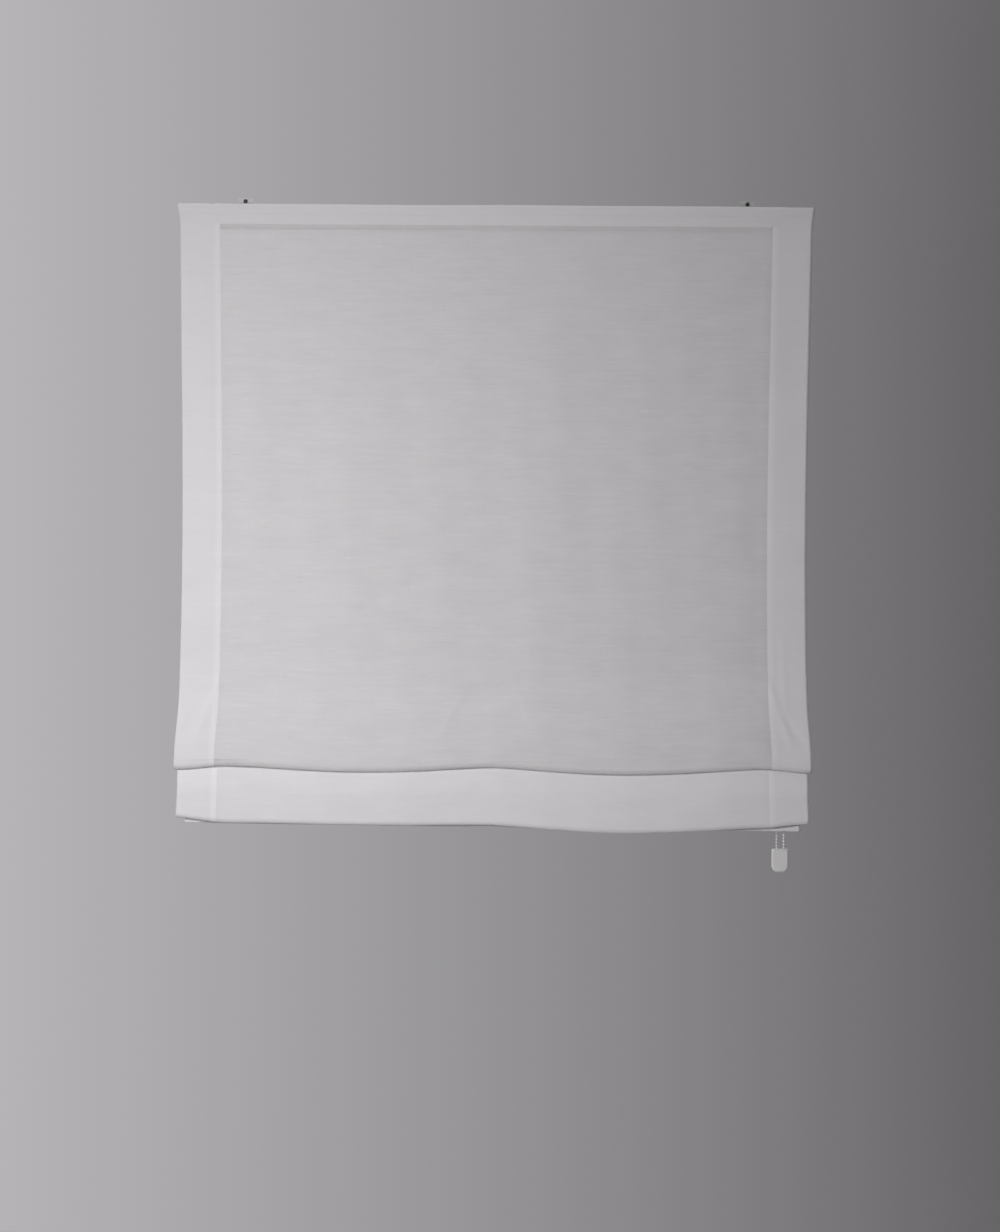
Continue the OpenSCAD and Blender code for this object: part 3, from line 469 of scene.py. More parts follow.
class Hang:
    """Surfaces of the hanging cloth, as functions of a share across the width and a place down the section.

    A fold hangs from two rows as low as the cloth between them allows. Its round foot takes pi - 2 radii more
    cloth than two straight layers, so its height is half of: both rows' heights less the pitch plus that."""

    def __init__(self, cloth):
        self.cloth = cloth
        self.half = cloth.width / 2
        self.band_foot = FIXED_END["fabric"]
        self.band_y = TAPE_FRONT - TAPE_GAP
        self.ring_y = RING_LOW.y - RING_GAP
        self.front_y = self.ring_y - cloth.front_bulge
        self.second_y = self.ring_y - cloth.second_bulge
        spare = math.pi - 2.0
        self.front_z = (ROWS[2] + ROWS[1] - cloth.ring_pitch + spare * cloth.front_turn) / 2
        self.second_z = (ROWS[1] + ROWS[0] - cloth.ring_pitch + spare * cloth.second_turn) / 2
        self.hem_z = ROWS[0] - cloth.skirt
        self.seam_z = ROWS[1]
        self.turn_z = self.front_z + cloth.front_roll
        self.section_y, self.section_z = self.front_section()

    def front_section(self):
        """Section of the front layer: straight from the band to the top rings, upright past the rings, then a
        Bezier curve out to the front fold."""
        upper, lower = (mix(ROWS[2], self.front_z, share) for share in (0.45, 0.55))
        start = (self.ring_y, ROWS[2])
        end = (self.front_y, self.turn_z)
        curve = bend([start, (self.ring_y, upper), (self.front_y, lower), end], CURVE_ROWS)
        corners = [(self.band_y, CLOTH_TOP), (self.band_y, self.band_foot), (self.ring_y, ROWS[4])]
        points = np.concatenate([corners, curve, [end]])
        return points[:, 0], points[:, 1]

    def layer_y(self, z):
        """Distance of the front layer from the wall at a height, before any sag."""
        return np.interp(-z, -self.section_z, self.section_y)

    def half_width(self, z):
        """Half width of the front layer: drawn in by a half sine of the share down to the power 1.3, and
        flared just above the front fold and at the top corners."""
        share = (CLOTH_TOP - z) / (CLOTH_TOP - self.front_z)
        drawn_in = self.cloth.waist * np.sin(np.pi * np.clip(share, 0, 1) ** 1.3)
        flared = self.cloth.flare * smooth((share - 0.88) / 0.1)
        corner = self.cloth.corner_flare * smooth(1.0 - (CLOTH_TOP - z) / CORNER_H)
        return self.half - drawn_in + flared + corner

    def swell(self, x):
        """Share of the sag: a sine from cord to cord to the power 1.3, and none beyond the outer cords."""
        return np.abs(np.sin(np.pi * np.minimum(np.abs(x) / CORD_X, 1.0))) ** 1.3

    def beyond(self, x):
        """Eased share of the way from an outer cord to the end."""
        return smooth((np.abs(x) - CORD_X) / (self.half - CORD_X))

    def sag(self, x):
        """Sag of the folds between the cords and at their free ends."""
        deep = np.where(x < 0, self.cloth.sag_left, self.cloth.sag_right)
        return deep * self.swell(x) + self.cloth.end_drop * self.beyond(x)

    def lift(self, x):
        """Rise of the second fold: its ends curl up, and its left part sags less than the front fold."""
        end = np.where(x < 0, self.cloth.lift_left, self.cloth.lift_right)
        return end * self.beyond(x) + np.where(x < 0, self.cloth.second_rise, 0.0) * self.swell(x)

    def sagging(self, z):
        """Share of the sag at a height of the front layer: none above the third rings, and all of it from a
        little above the seam."""
        return smooth((ROWS[2] - z) / (ROWS[2] - self.seam_z - 1.2 * self.cloth.sag_right))

    def ripple(self, x, z):
        """Shallow waves that the weight of the folds leaves in the cloth: slanting sines, a fine one that
        comes and goes, and a level one."""
        slanting = sum(height * wave(x / long + phase + turns * z) for height, long, phase, turns in RIPPLES)
        fine = 0.05 * MM * wave(x / 0.037 + 0.6 * z + 0.2 * np.sin(9.0 * z))
        patchy = 0.6 + 0.4 * wave(x / 0.43 + z / 0.6)
        level = 0.5 * MM * wave(z / 0.17 + 0.15 * wave(x / 0.8))
        return slanting + fine * patchy + level

    def creases(self, x, z):
        """Short ridges where the folds drag at the lower corners: a bell curve across each line, which fades
        over a third of the line at either end."""
        height = np.zeros(np.broadcast(x, z).shape)
        for start, end, rise in CREASES:
            line = np.array(end) - np.array(start)
            long = math.hypot(*line)
            along = ((x - start[0]) * line[0] + (z - start[1]) * line[1]) / long**2
            aside = ((x - start[0]) * line[1] - (z - start[1]) * line[0]) / long
            bell = np.exp(-((aside / CREASE_W) ** 2))
            height = height + rise * bell * smooth(3 * along) * smooth(3 * (1 - along))
        return height

    def proud(self, x, z):
        """How far the front layer stands proud: held back at the band and, by a bell curve of the distance,
        round each ring, and rippled between."""
        held = np.zeros(np.broadcast(x, z).shape)
        for row in ROWS[2:]:
            for cord in CORD_XS.values():
                held = held + np.exp(-((x - cord) ** 2 + (z - row) ** 2) / (2 * RING_HOLD**2))
        free = smooth((self.band_foot - z) / BAND_HOLD) * (1.0 - np.minimum(held, 1.0))
        return free * (self.cloth.ring_pull + self.ripple(x, z) + self.creases(x, z))

    def panel(self, share, z):
        """Front layer from the band to the seam, in level rows. The sag slides cloth down within each column,
        and the section is read at the height that the cloth came from."""
        x = share * self.half_width(z)
        y = self.layer_y(z + self.panel_slide(x, z)) - self.proud(x, z)
        return points_from(x, y, z)

    def panel_slide(self, x, z):
        """How far the sag has let down the cloth of the front layer that now lies at x and z: the sag at the
        height it came from, found by repeated correction."""
        slide = 0.0 * x * z
        for _ in range(8):
            slide = self.sagging(z + slide) * self.sag(x)
        return slide

    def fold_slide(self, points):
        """The same for the folds: all of the sag at the seam, and none from the turn down, where the section
        itself is let down."""
        slide = np.zeros(points.shape[:2])
        slide[:LEAD_ROWS] = (1.0 - steps(LEAD_ROWS))[:, None] * self.sag(points[:LEAD_ROWS, :, 0])
        return slide

    def band(self, share):
        """Top hem: up the back, over the slightly uneven top edge and down the front."""
        cloth_height = CLOTH_TOP - self.band_foot
        turn_r = 0.6 * MM
        back_y = self.band_y + 2 * turn_r
        edge_z = CLOTH_TOP - turn_r
        section = np.concatenate([
            straight((back_y, self.band_foot), (back_y, edge_z), 10),
            arc((self.band_y + turn_r, edge_z), turn_r, 0, 180, 8),
            straight((self.band_y, edge_z), (self.band_y, self.band_foot), 12),
            [(self.band_y, self.band_foot)],
        ])
        y, z = section[:, :1], section[:, 1:]
        x = share * self.half_width(z)
        uneven = self.cloth.edge_wave * wave(x / 0.52 + 0.1) * wave(x / 1.4 + 0.3)
        return points_from(x, y, z + uneven * smooth((z - self.band_foot) / cloth_height))

    def fold_rows(self):
        """Section below the turn, as rows of y, z, shares of sag, slope and lift, half width, and share of
        ripple."""
        cloth, half = self.cloth, self.half
        front = half + cloth.flare
        second = half - 2 * MM
        hem = half - cloth.hem_inset
        above_hem = hem + 4 * MM
        crease_y = self.ring_y - 2 * cloth.crease
        cap_low, cap_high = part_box("bar_cap_left")
        pocket_r = (cap_high.y - cap_low.y) / 2 + 0.8 * MM
        bar_y = (cap_high.y + cap_low.y) / 2
        pocket_y = bar_y - pocket_r
        pocket_top = self.hem_z + cloth.pocket
        front_low = self.front_y + cloth.front_round
        back_y = self.front_y + 2 * cloth.front_turn
        second_low = self.second_y + cloth.second_round
        under_y = self.second_y + 2 * cloth.second_turn
        low_z = self.second_z + cloth.second_roll
        waist_z = mix(ROWS[1], self.second_z, 0.5)
        none, full, half_slope = (0, 0), (1, 1), (0.5, 0.5)
        rows = []

        def add(points, width, sag=full, slope=none, lift=none, ripple=none):
            """One stretch of the section, with each share and the half width from its start to its end."""
            share = steps(len(points))
            others = [mix(*pair, share) for pair in (slope, lift, width, ripple)]
            rows.append(np.column_stack([points, mix(*sag, smooth(share)), *others]))

        # Front fold: its roll, its back and the crease at the second ring row
        turn = (front_low, self.turn_z)
        add(arc(turn, (cloth.front_round, cloth.front_roll), 180, 270, 14), (front, front - MM),
            ripple=(0.5, 0.3))
        add(arc(turn, (back_y - front_low, cloth.front_roll), 270, 360, 6), (front - MM, front - MM),
            ripple=(0.3, 0.2))
        add(straight((back_y, self.turn_z), (crease_y, ROWS[1]), 6), (front - MM, second), ripple=(0.2, 0))
        add(arc((self.ring_y - cloth.crease, ROWS[1]), cloth.crease, 180, 0, 8), (second, second))
        # Second fold: out from the rings, down to its roll, up its back and the crease at the lowest row
        leaving = [(self.ring_y, ROWS[1]), (self.ring_y - MM, ROWS[1] - 14 * MM),
                   (self.second_y, ROWS[1] - 22 * MM), (self.second_y, waist_z)]
        add(bend(leaving, 26), (second, second), slope=(0, 0.2), lift=(0, 0.2), ripple=(0, 1))
        add(straight((self.second_y, waist_z), (self.second_y, low_z), 16), (second, half),
            slope=(0.2, 0.5), lift=(0.2, 1), ripple=(1, 0.6))
        turn = (second_low, low_z)
        add(arc(turn, (cloth.second_round, cloth.second_roll), 180, 270, 11), (half, half - MM),
            slope=half_slope, lift=full, ripple=(0.6, 0.4))
        add(arc(turn, (under_y - second_low, cloth.second_roll), 270, 360, 5), (half - MM, half - MM),
            slope=half_slope, lift=full, ripple=(0.4, 0.3))
        returning = [(under_y, low_z), (under_y, mix(self.second_z, ROWS[0], 0.4)),
                     (crease_y, ROWS[0] - 20 * MM), (crease_y, ROWS[0])]
        add(bend(returning, 24), (half - MM, above_hem), slope=(0.5, 0), lift=(1, 0), ripple=(0.3, 0))
        add(arc((self.ring_y - cloth.crease, ROWS[0]), cloth.crease, 180, 0, 8), (above_hem, above_hem))
        # Skirt, and the pocket round the bar
        add(straight((self.ring_y, ROWS[0]), (pocket_y, pocket_top), 20), (above_hem, hem),
            sag=(1, 0), slope=(0, 1))
        pocket_low = self.hem_z + pocket_r
        pocket_back = bar_y + pocket_r
        front_rows, foot_rows, back_rows = POCKET_ROWS
        for points in (
            straight((pocket_y, pocket_top), (pocket_y, pocket_low), front_rows),
            arc((bar_y, pocket_low), pocket_r, 180, 360, foot_rows),
            straight((pocket_back, pocket_low), (pocket_back, pocket_top), back_rows),
        ):
            add(points, (hem, hem), sag=none, slope=full)
        return np.concatenate(rows)

    def folds(self, share):
        """Front fold, second fold, skirt and bar pocket. The first rows run from the level seam to the turn,
        and the rest follow the section, let down by the sag and turned with the hem."""
        start = steps(LEAD_ROWS)[:, None]
        x = share * mix(self.half_width(self.seam_z), self.half + self.cloth.flare, start)
        level = mix(self.seam_z + self.sag(x), self.turn_z, start)
        rows = self.fold_rows()
        y, z, sag, slope, lift, width, ripple = (rows[:, k : k + 1] for k in range(7))
        lower_x = share * width
        tilt = slope * lower_x * math.tan(self.cloth.hem_slope)
        lower_z = z - sag * self.sag(lower_x) - tilt + lift * self.lift(lower_x)
        x = np.concatenate([x, lower_x])
        z = np.concatenate([level - self.sag(x[: len(start)]), lower_z])
        y = np.concatenate([self.layer_y(level), y + 0.0 * lower_x])
        ripple = np.concatenate([mix(1.0, 0.5, start), ripple])
        points = np.stack([x, y, z], axis=-1)
        return points + ripple[..., None] * self.proud(x, z)[..., None] * face_of(points)


def face_of(points):
    """Direction that the cloth's face looks: square to the way down the section, with no sideways share."""
    down = unit(np.gradient(points[..., 1:], axis=0))
    return np.stack([0.0 * down[..., 0], down[..., 1], -down[..., 0]], axis=-1)


class Columns:
    """Places across the cut cloth: the turned-in hem at the left, the face, and the hem at the right."""

    def __init__(self, cloth):
        half = cloth.width / 2
        inner = 1.0 - cloth.side_hem / half
        hem = np.linspace(inner, 1.0, HEM_COLUMNS)
        fold = np.array([0.75, 0.5, 0.25])
        face = np.linspace(-1.0, 1.0, cloth.columns + 1)
        behind = np.ones(len(hem))
        edge = np.ones(len(fold))
        self.share = np.concatenate([-hem, -edge, face, edge, hem[::-1]])
        self.depth = np.concatenate([behind, fold, 0.0 * face, fold[::-1], behind])
        outside = half + (1.0 - hem) * half
        self.across = np.concatenate([-outside, -half * edge, face * half, half * edge, outside[::-1]])
        self.gap = cloth.layer_gap

    def layered(self, points):
        """Points of the hems moved behind the face by the gap between layers."""
        return points - self.depth[:, None] * self.gap * face_of(points)

    def uv(self, points, start, slide):
        """Place in the weave in metres: across the cut, and down its middle from a start, less how far each
        point slid."""
        return points_from(self.across[None, :], start + travelled(middle_column(points))[:, None] - slide)


# Finishes


class Wire:
    """An output of a finish's nodes. Arithmetic on it adds Math nodes."""

    def __init__(self, finish, socket):
        self.finish = finish
        self.socket = socket

    def math(self, operation, *values):
        """A Math node on values or wires."""
        return self.finish.node("ShaderNodeMath", {"operation": operation}, dict(enumerate(values)))

    def __add__(self, other):
        return self.math("ADD", self, other)

    def __sub__(self, other):
        return self.math("SUBTRACT", self, other)

    def __rsub__(self, other):
        return self.math("SUBTRACT", other, self)

    def __mul__(self, other):
        return self.math("MULTIPLY", self, other)

    __radd__ = __add__
    __rmul__ = __mul__

    def sine(self):
        """Sine of an angle in radians."""
        return self.math("SINE", self)

    def absolute(self):
        """The value without its sign."""
        return self.math("ABSOLUTE", self)

    def larger(self, other):
        """The larger of two values."""
        return self.math("MAXIMUM", self, other)


class Nodes:
    """Nodes of a material or of the world, in the making."""

    def __init__(self, holder):
        holder.use_nodes = True
        self.tree = holder.node_tree
        self.tree.nodes.clear()

    def node(self, kind, settings=None, sockets=None, output=0):
        """Adds a node, sets its settings first and then the values or links of its sockets."""
        made = self.tree.nodes.new(kind)
        for name, value in (settings or {}).items():
            setattr(made, name, value)
        for name, value in (sockets or {}).items():
            if isinstance(value, Wire):
                self.tree.links.new(value.socket, made.inputs[name])
            else:
                made.inputs[name].default_value = value
        return Wire(self, made.outputs[output]) if made.outputs else None

    def place(self, kind="Object"):
        """Coordinates: Object or UV of a piece in metres, or Generated for the world's directions."""
        return self.node("ShaderNodeTexCoord", output=kind)

    def stretched(self, place, scales):
        """Coordinates scaled by axis."""
        return self.node("ShaderNodeVectorMath", {"operation": "MULTIPLY"}, {0: place, 1: scales})

    def parts(self, place):
        """X, Y and Z of coordinates."""
        split = self.node("ShaderNodeSeparateXYZ", sockets={0: place}).socket.node
        return [Wire(self, output) for output in split.outputs]

    def noise(self, place, scale=1.0, detail=2.0):
        """Noise from 0 to 1."""
        sockets = {"Vector": place, "Scale": scale, "Detail": detail}
        return self.node("ShaderNodeTexNoise", sockets=sockets, output="Fac")

    def cells(self, place, scale):
        """Distance to the nearest of scattered points, so many to the metre."""
        sockets = {"Vector": place, "Scale": scale}
        return self.node("ShaderNodeTexVoronoi", sockets=sockets, output="Distance")

    def ramp(self, value, low, high):
        """0 up to low, 1 from high on, and straight between."""
        sockets = {"Value": value, "From Min": low, "From Max": high}
        return self.node("ShaderNodeMapRange", sockets=sockets, output="Result")

    def blend(self, first, second, share):
        """A colour that runs from a first to a second by a share."""
        sockets = {"Factor": share, 6: (*first, 1.0), 7: (*second, 1.0)}
        return self.node("ShaderNodeMix", {"data_type": "RGBA"}, sockets, output=2)

    def shade(self, colour, low, high, share):
        """A colour that runs from low to high times its value by a share."""
        dark, light = (tuple(value * factor for value in colour) for factor in (low, high))
        return self.blend(dark, light, share)

    def seen(self):
        """1 to the camera, to reflections and through glass, and 0 to the light on the object."""
        path = self.node("ShaderNodeLightPath").socket.node
        rays = [Wire(self, path.outputs[f"Is {ray} Ray"]) for ray in ("Camera", "Glossy", "Transmission")]
        return rays[0].larger(rays[1]).larger(rays[2])

    def bump(self, height, depth):
        """Normal from a height whose full range is a depth in metres."""
        return self.node("ShaderNodeBump", sockets={"Height": height, "Distance": depth, "Strength": 1.0})


class Finish(Nodes):
    """A material in the making."""

    def __init__(self, name):
        self.material = bpy.data.materials.new(name)
        super().__init__(self.material)

    def surface(self, **sockets):
        """Closes the finish with a Principled shader."""
        named = {name.replace("_", " "): value for name, value in sockets.items()}
        shader = self.node("ShaderNodeBsdfPrincipled", sockets=named)
        self.node("ShaderNodeOutputMaterial", sockets={"Surface": shader})
        return self.material


def linen(colour, sizes, stack_v):
    """Sheer plain weave: uneven threads both ways, with long soft streaks and short thick slubs across. Hems
    cover more, most where the raw edge is turned in, and have a painted glow that stands for light
    scattered back through the layers; the cloth from stack_v down, where layers lie behind each other, has
    the same. The single layer has open places, and lets more of the background through beside the hems.
    Under the band it has painted shade: it lets more of the darker background through where the rail's
    shadow would lie. The top edge has a painted highlight, and the line sewn along the top hem is darker in
    places."""
    finish = Finish("sheer_linen")
    place = finish.place("UV")
    across, down = finish.parts(place)[:2]

    def patches(wide, high, detail):
        """Noise with so many patches to the metre across and down."""
        return finish.noise(finish.stretched(place, (wide, high, 1.0)), detail=detail)

    # Threads
    streaks = finish.ramp(patches(9.0, 140.0, 3.0), 0.3, 0.7)
    weft = patches(24.0, 460.0, 3.0)
    warp = patches(430.0, 22.0, 3.0)
    knots = finish.ramp(patches(30.0, 220.0, 2.0), 0.62, 0.8)
    gaps = finish.ramp(patches(17.0, 310.0, 1.0), 0.66, 0.8)
    cloudy = finish.ramp(patches(11.0, 26.0, 2.0), 0.25, 0.75)
    per_thread = 2 * math.pi / sizes.thread_pitch
    upright = (across * per_thread + warp * 5.0).sine()
    level = (down * per_thread + weft * 5.0).sine()
    weave = level.larger(upright * 0.9)
    threads = streaks * 0.3 + weft * 0.2 + warp * 0.15 + knots * 0.35
    # Layers, with the masks of painted glow and painted shade
    inner = sizes.width / 2 - sizes.side_hem
    aside = across.absolute()
    side = finish.ramp(aside, inner, inner + MM)
    top = 1.0 - finish.ramp(down, sizes.top_hem - 0.5 * MM, sizes.top_hem + 0.5 * MM)
    # Painted glow: the hems, the band, the turned-in lip and, from stack_v down, the folded layers cover more
    # and are paler, the pale tone standing for light scattered back from the layers behind
    stack = finish.ramp(down, stack_v - 22 * MM, stack_v + 10 * MM)
    dense_and_glow = side.larger(top).larger(stack * 0.85)
    lip = (side - finish.ramp(aside, inner + 7 * MM, inner + 14 * MM)) * (1.0 - top)
    beside = finish.ramp(aside, inner - 16 * MM, inner - 3 * MM) * 0.6
    # Painted shade: under the band the single layer covers less and shows more of the darker background,
    # standing for the rail's shadow behind the cloth
    under = 1.0 - finish.ramp(down, sizes.top_hem + 4 * MM, sizes.top_hem + 22 * MM)
    see_through_and_shade = beside.larger(under)
    # How far the threads cover what lies behind, and how pale they are
    thick = streaks * 0.03 + weft * 0.03 + warp * 0.04 + cloudy * 0.06 + knots * 0.08
    single = 0.6 + weave * 0.1 + (thick - gaps * 0.08 - see_through_and_shade * 0.06)
    cover = single + (1.0 - single) * (dense_and_glow * 0.74 + lip * 0.16)
    # Painted highlight along the top edge; the line sewn along the top hem is darker in places. Both go into
    # the marks below.
    edge = 1.0 - finish.ramp(down.absolute(), 1 * MM, 4 * MM)
    sewn = 1.0 - finish.ramp((down - sizes.top_hem / 2).absolute(), 0.4 * MM, 1.2 * MM)
    marks = edge * 0.4 - sewn * cloudy * 0.9
    # Tone: random thread and cloud variation, the painted glow of the layered places, and the painted
    # top-edge highlight with the darker sewn line
    tone = threads * 0.32 + cloudy * 0.12 + dense_and_glow * 0.22 + stack * 0.35 + lip * 0.12 + marks
    return finish.surface(
        Base_Color=finish.shade(colour, 0.95, 1.07, tone),
        Roughness=0.8 + threads * 0.15,
        Alpha=cover,
        Normal=finish.bump(threads * 0.6 + weave * 0.4, 0.25 * MM),
        Sheen_Weight=0.08,
        Specular_IOR_Level=0.2,
    )


def sewing_thread(colour):
    """Twisted thread."""
    finish = Finish("sewing_thread")
    grain = finish.noise(finish.place(), scale=900.0)
    return finish.surface(
        Base_Color=finish.shade(colour, 0.9, 1.06, grain),
        Roughness=0.7 + grain * 0.2,
        Specular_IOR_Level=0.25,
    )


def powder_coat(colour):
    """Powder coat with a faint orange peel."""
    finish = Finish("white_powder_coat")
    place = finish.place()
    peel = finish.noise(place, scale=700.0)
    patch = finish.noise(place, scale=14.0)
    return finish.surface(
        Base_Color=finish.shade(colour, 0.97, 1.02, patch),
        Roughness=0.34 + patch * 0.14,
        Normal=finish.bump(peel, 0.05 * MM),
    )


def moulded(name, colour, roughness):
    """Moulded plastic with a fine spark texture and slight flow marks."""
    finish = Finish(name)
    place = finish.place()
    spark = finish.noise(place, scale=2200.0, detail=1.0)
    flow = finish.noise(finish.stretched(place, (30.0, 60.0, 110.0)))
    return finish.surface(
        Base_Color=finish.shade(colour, 0.95, 1.04, flow),
        Roughness=roughness - 0.06 + flow * 0.12,
        Normal=finish.bump(spark, 0.03 * MM),
    )


def drawn(name, colour, roughness):
    """Drawn or extruded metal with fine lines along X."""
    finish = Finish(name)
    place = finish.place()
    lines = finish.noise(finish.stretched(place, (4.0, 1400.0, 1400.0)), detail=3.0)
    stain = finish.noise(place, scale=25.0)
    return finish.surface(
        Base_Color=finish.shade(colour, 0.85, 1.08, stain * 0.5 + lines * 0.5),
        Metallic=1.0,
        Roughness=roughness - 0.1 + lines * 0.2,
        Normal=finish.bump(lines, 0.02 * MM),
    )


def zinc_coat(colour):
    """Zinc-coated sheet steel with soft spangles."""
    finish = Finish("zinc_coat")
    place = finish.place()
    spangle = finish.cells(place, 420.0)
    cloud = finish.noise(place, scale=160.0)
    share = spangle * 0.4 + cloud * 0.6
    return finish.surface(
        Base_Color=finish.shade(colour, 0.8, 1.15, share), Metallic=0.15, Roughness=0.35 + share * 0.25
    )


def pile_tape(name, colour, pitch, depth):
    """Hook or loop tape: a pile of small knobs, with painted shade in the gaps between them."""
    finish = Finish(name)
    place = finish.place()
    knob = finish.cells(place, 1.0 / pitch)
    fuzz = finish.noise(place, scale=1600.0)
    # Painted shade: darker in the gaps between the knobs
    return finish.surface(
        Base_Color=finish.shade(colour, 1.04, 0.82, knob),
        Roughness=0.8 + fuzz * 0.15,
        Normal=finish.bump(1.0 - knob + fuzz * 0.3, depth),
    )


def braid(colour):
    """Braided cord: two sets of strands that cross round the cord, with painted shade in the grooves between
    them.
    """
    finish = Finish("braided_cord")
    around, along = finish.parts(finish.place("UV"))[:2]
    lay = 2 * math.pi / 0.005
    strands = (around * (4 * math.pi) + along * lay).sine() * (around * (4 * math.pi) - along * lay).sine()
    # Painted shade: the colour darkens where the strands dip into grooves
    share = strands * 0.5 + 0.5
    return finish.surface(
        Base_Color=finish.shade(colour, 0.82, 1.05, share),
        Roughness=0.85 - share * 0.1,
        Normal=finish.bump(share, 0.15 * MM),
    )


def polished(name, colour, roughness):
    """Glossy moulded plastic with faint handling marks."""
    finish = Finish(name)
    place = finish.place()
    mark = finish.noise(place, scale=260.0, detail=4.0)
    return finish.surface(
        Base_Color=finish.shade(colour, 0.95, 1.04, finish.noise(place, scale=40.0)),
        Roughness=roughness - 0.07 + mark * 0.14,
        Normal=finish.bump(mark, 0.01 * MM),
    )


# Operators


class BLIND_OT_stage(bpy.types.Operator):
    """Camera, lamps, floor and background."""

    bl_idname = "blind.stage"
    bl_label = "Stage"

    def execute(self, context):
        sizes = context.scene.blind_stage
        context.scene.view_settings.view_transform = "Standard"
        self.camera(context, sizes)
        self.floor(context, sizes)
        self.lamps(context, sizes)
        self.world(context, sizes)
        return {"FINISHED"}

    def camera(self, context, sizes):
        """Looks straight at the wall, as far off and as wide as the photograph. The sensor's width spans the
        picture's longer side, its height."""
        camera = bpy.data.cameras.new("camera")
        camera.sensor_width = 36.0
        view_height = sizes.view_width * PICTURE_H / PICTURE_W
        camera.lens = camera.sensor_width * sizes.view_distance / view_height
        holder = bpy.data.objects.new("camera", camera)
        context.scene.collection.objects.link(holder)
        holder.location = (sizes.view_x, TAPE_FRONT - sizes.view_distance, CLOTH_TOP - sizes.view_drop)
        holder.rotation_euler = (math.pi / 2, sizes.roll, 0.0)
        context.scene.camera = holder

    def floor(self, context, sizes):
        """Pale floor below the blind, far to the sides and to the front, and short behind the wall's plane.
        It glows a little to the camera and to reflections only, and keeps the shadow."""
        x = np.linspace(-sizes.floor_reach, sizes.floor_reach, 3)[None, :]
        y = np.linspace(sizes.floor_behind, -sizes.floor_reach, 3)[:, None]
        points = points_from(x, y, -sizes.floor_drop)
        finish = Finish("pale_floor")
        cloud = finish.noise(finish.place(), scale=0.8)
        shade = finish.shade(sizes.floor, 0.97, 1.03, cloud)
        lit = finish.node("ShaderNodeBsdfDiffuse", sockets={"Color": shade})
        glow = finish.node("ShaderNodeEmission", sockets={"Color": shade, "Strength": 0.7})
        mixed = finish.node("ShaderNodeMixShader", sockets={"Fac": finish.seen() * 0.6, 1: lit, 2: glow})
        finish.node("ShaderNodeOutputMaterial", sockets={"Surface": mixed})
        floor = bpy.data.objects.new("floor", grid_mesh("floor", points))
        floor.data.materials.append(finish.material)
        context.scene.collection.objects.link(floor)

    def lamps(self, context, sizes):
        """A soft lamp at the left aimed at the folds, one behind for what hangs out of its light, and a weak
        one above."""
        centre = middle("fabric")
        target = Vector(sizes.key_target)
        lamps = (
            ("key", sizes.key, sizes.key_place, target, sizes.key_size, sizes.key_spread),
            ("back", sizes.back, sizes.back_place, centre, sizes.soft_size, math.pi),
            ("top", sizes.top, sizes.top_place, centre, sizes.soft_size, math.pi),
        )
        for name, power, place, target, size, spread in lamps:
            lamp = bpy.data.lights.new(name, "AREA")
            lamp.energy = power
            lamp.size = size
            lamp.spread = spread
            holder = bpy.data.objects.new(name, lamp)
            context.scene.collection.objects.link(holder)
            holder.location = place
            holder.rotation_euler = (target - holder.location).to_track_quat("-Z", "Y").to_euler()

    def world(self, context, sizes):
        """Soft light all round, stronger from above. The camera and reflections see a plain background
        instead, with painted shade that darkens it from left to right behind the blind, as light from the
        left would, and a middle tone elsewhere."""
        world = bpy.data.worlds.new("studio")
        context.scene.world = world
        nodes = Nodes(world)
        x, y, z = nodes.parts(nodes.place("Generated"))
        even = nodes.node("ShaderNodeBackground", sockets={"Strength": (z * 0.5 + 1.0) * sizes.ambient})
        # Painted shade: the background darkens from left to right behind the blind
        share = (nodes.ramp(x, -0.2, 0.2) - 0.5) * nodes.ramp(y, 0.6, 0.9) + 0.5
        tone = nodes.blend(sizes.backdrop_left, sizes.backdrop_right, share)
        backdrop = nodes.node("ShaderNodeBackground", sockets={"Color": tone})
        mixed = nodes.node("ShaderNodeMixShader", sockets={"Fac": nodes.seen(), 1: even, 2: backdrop})
        nodes.node("ShaderNodeOutputWorld", sockets={"Surface": mixed})


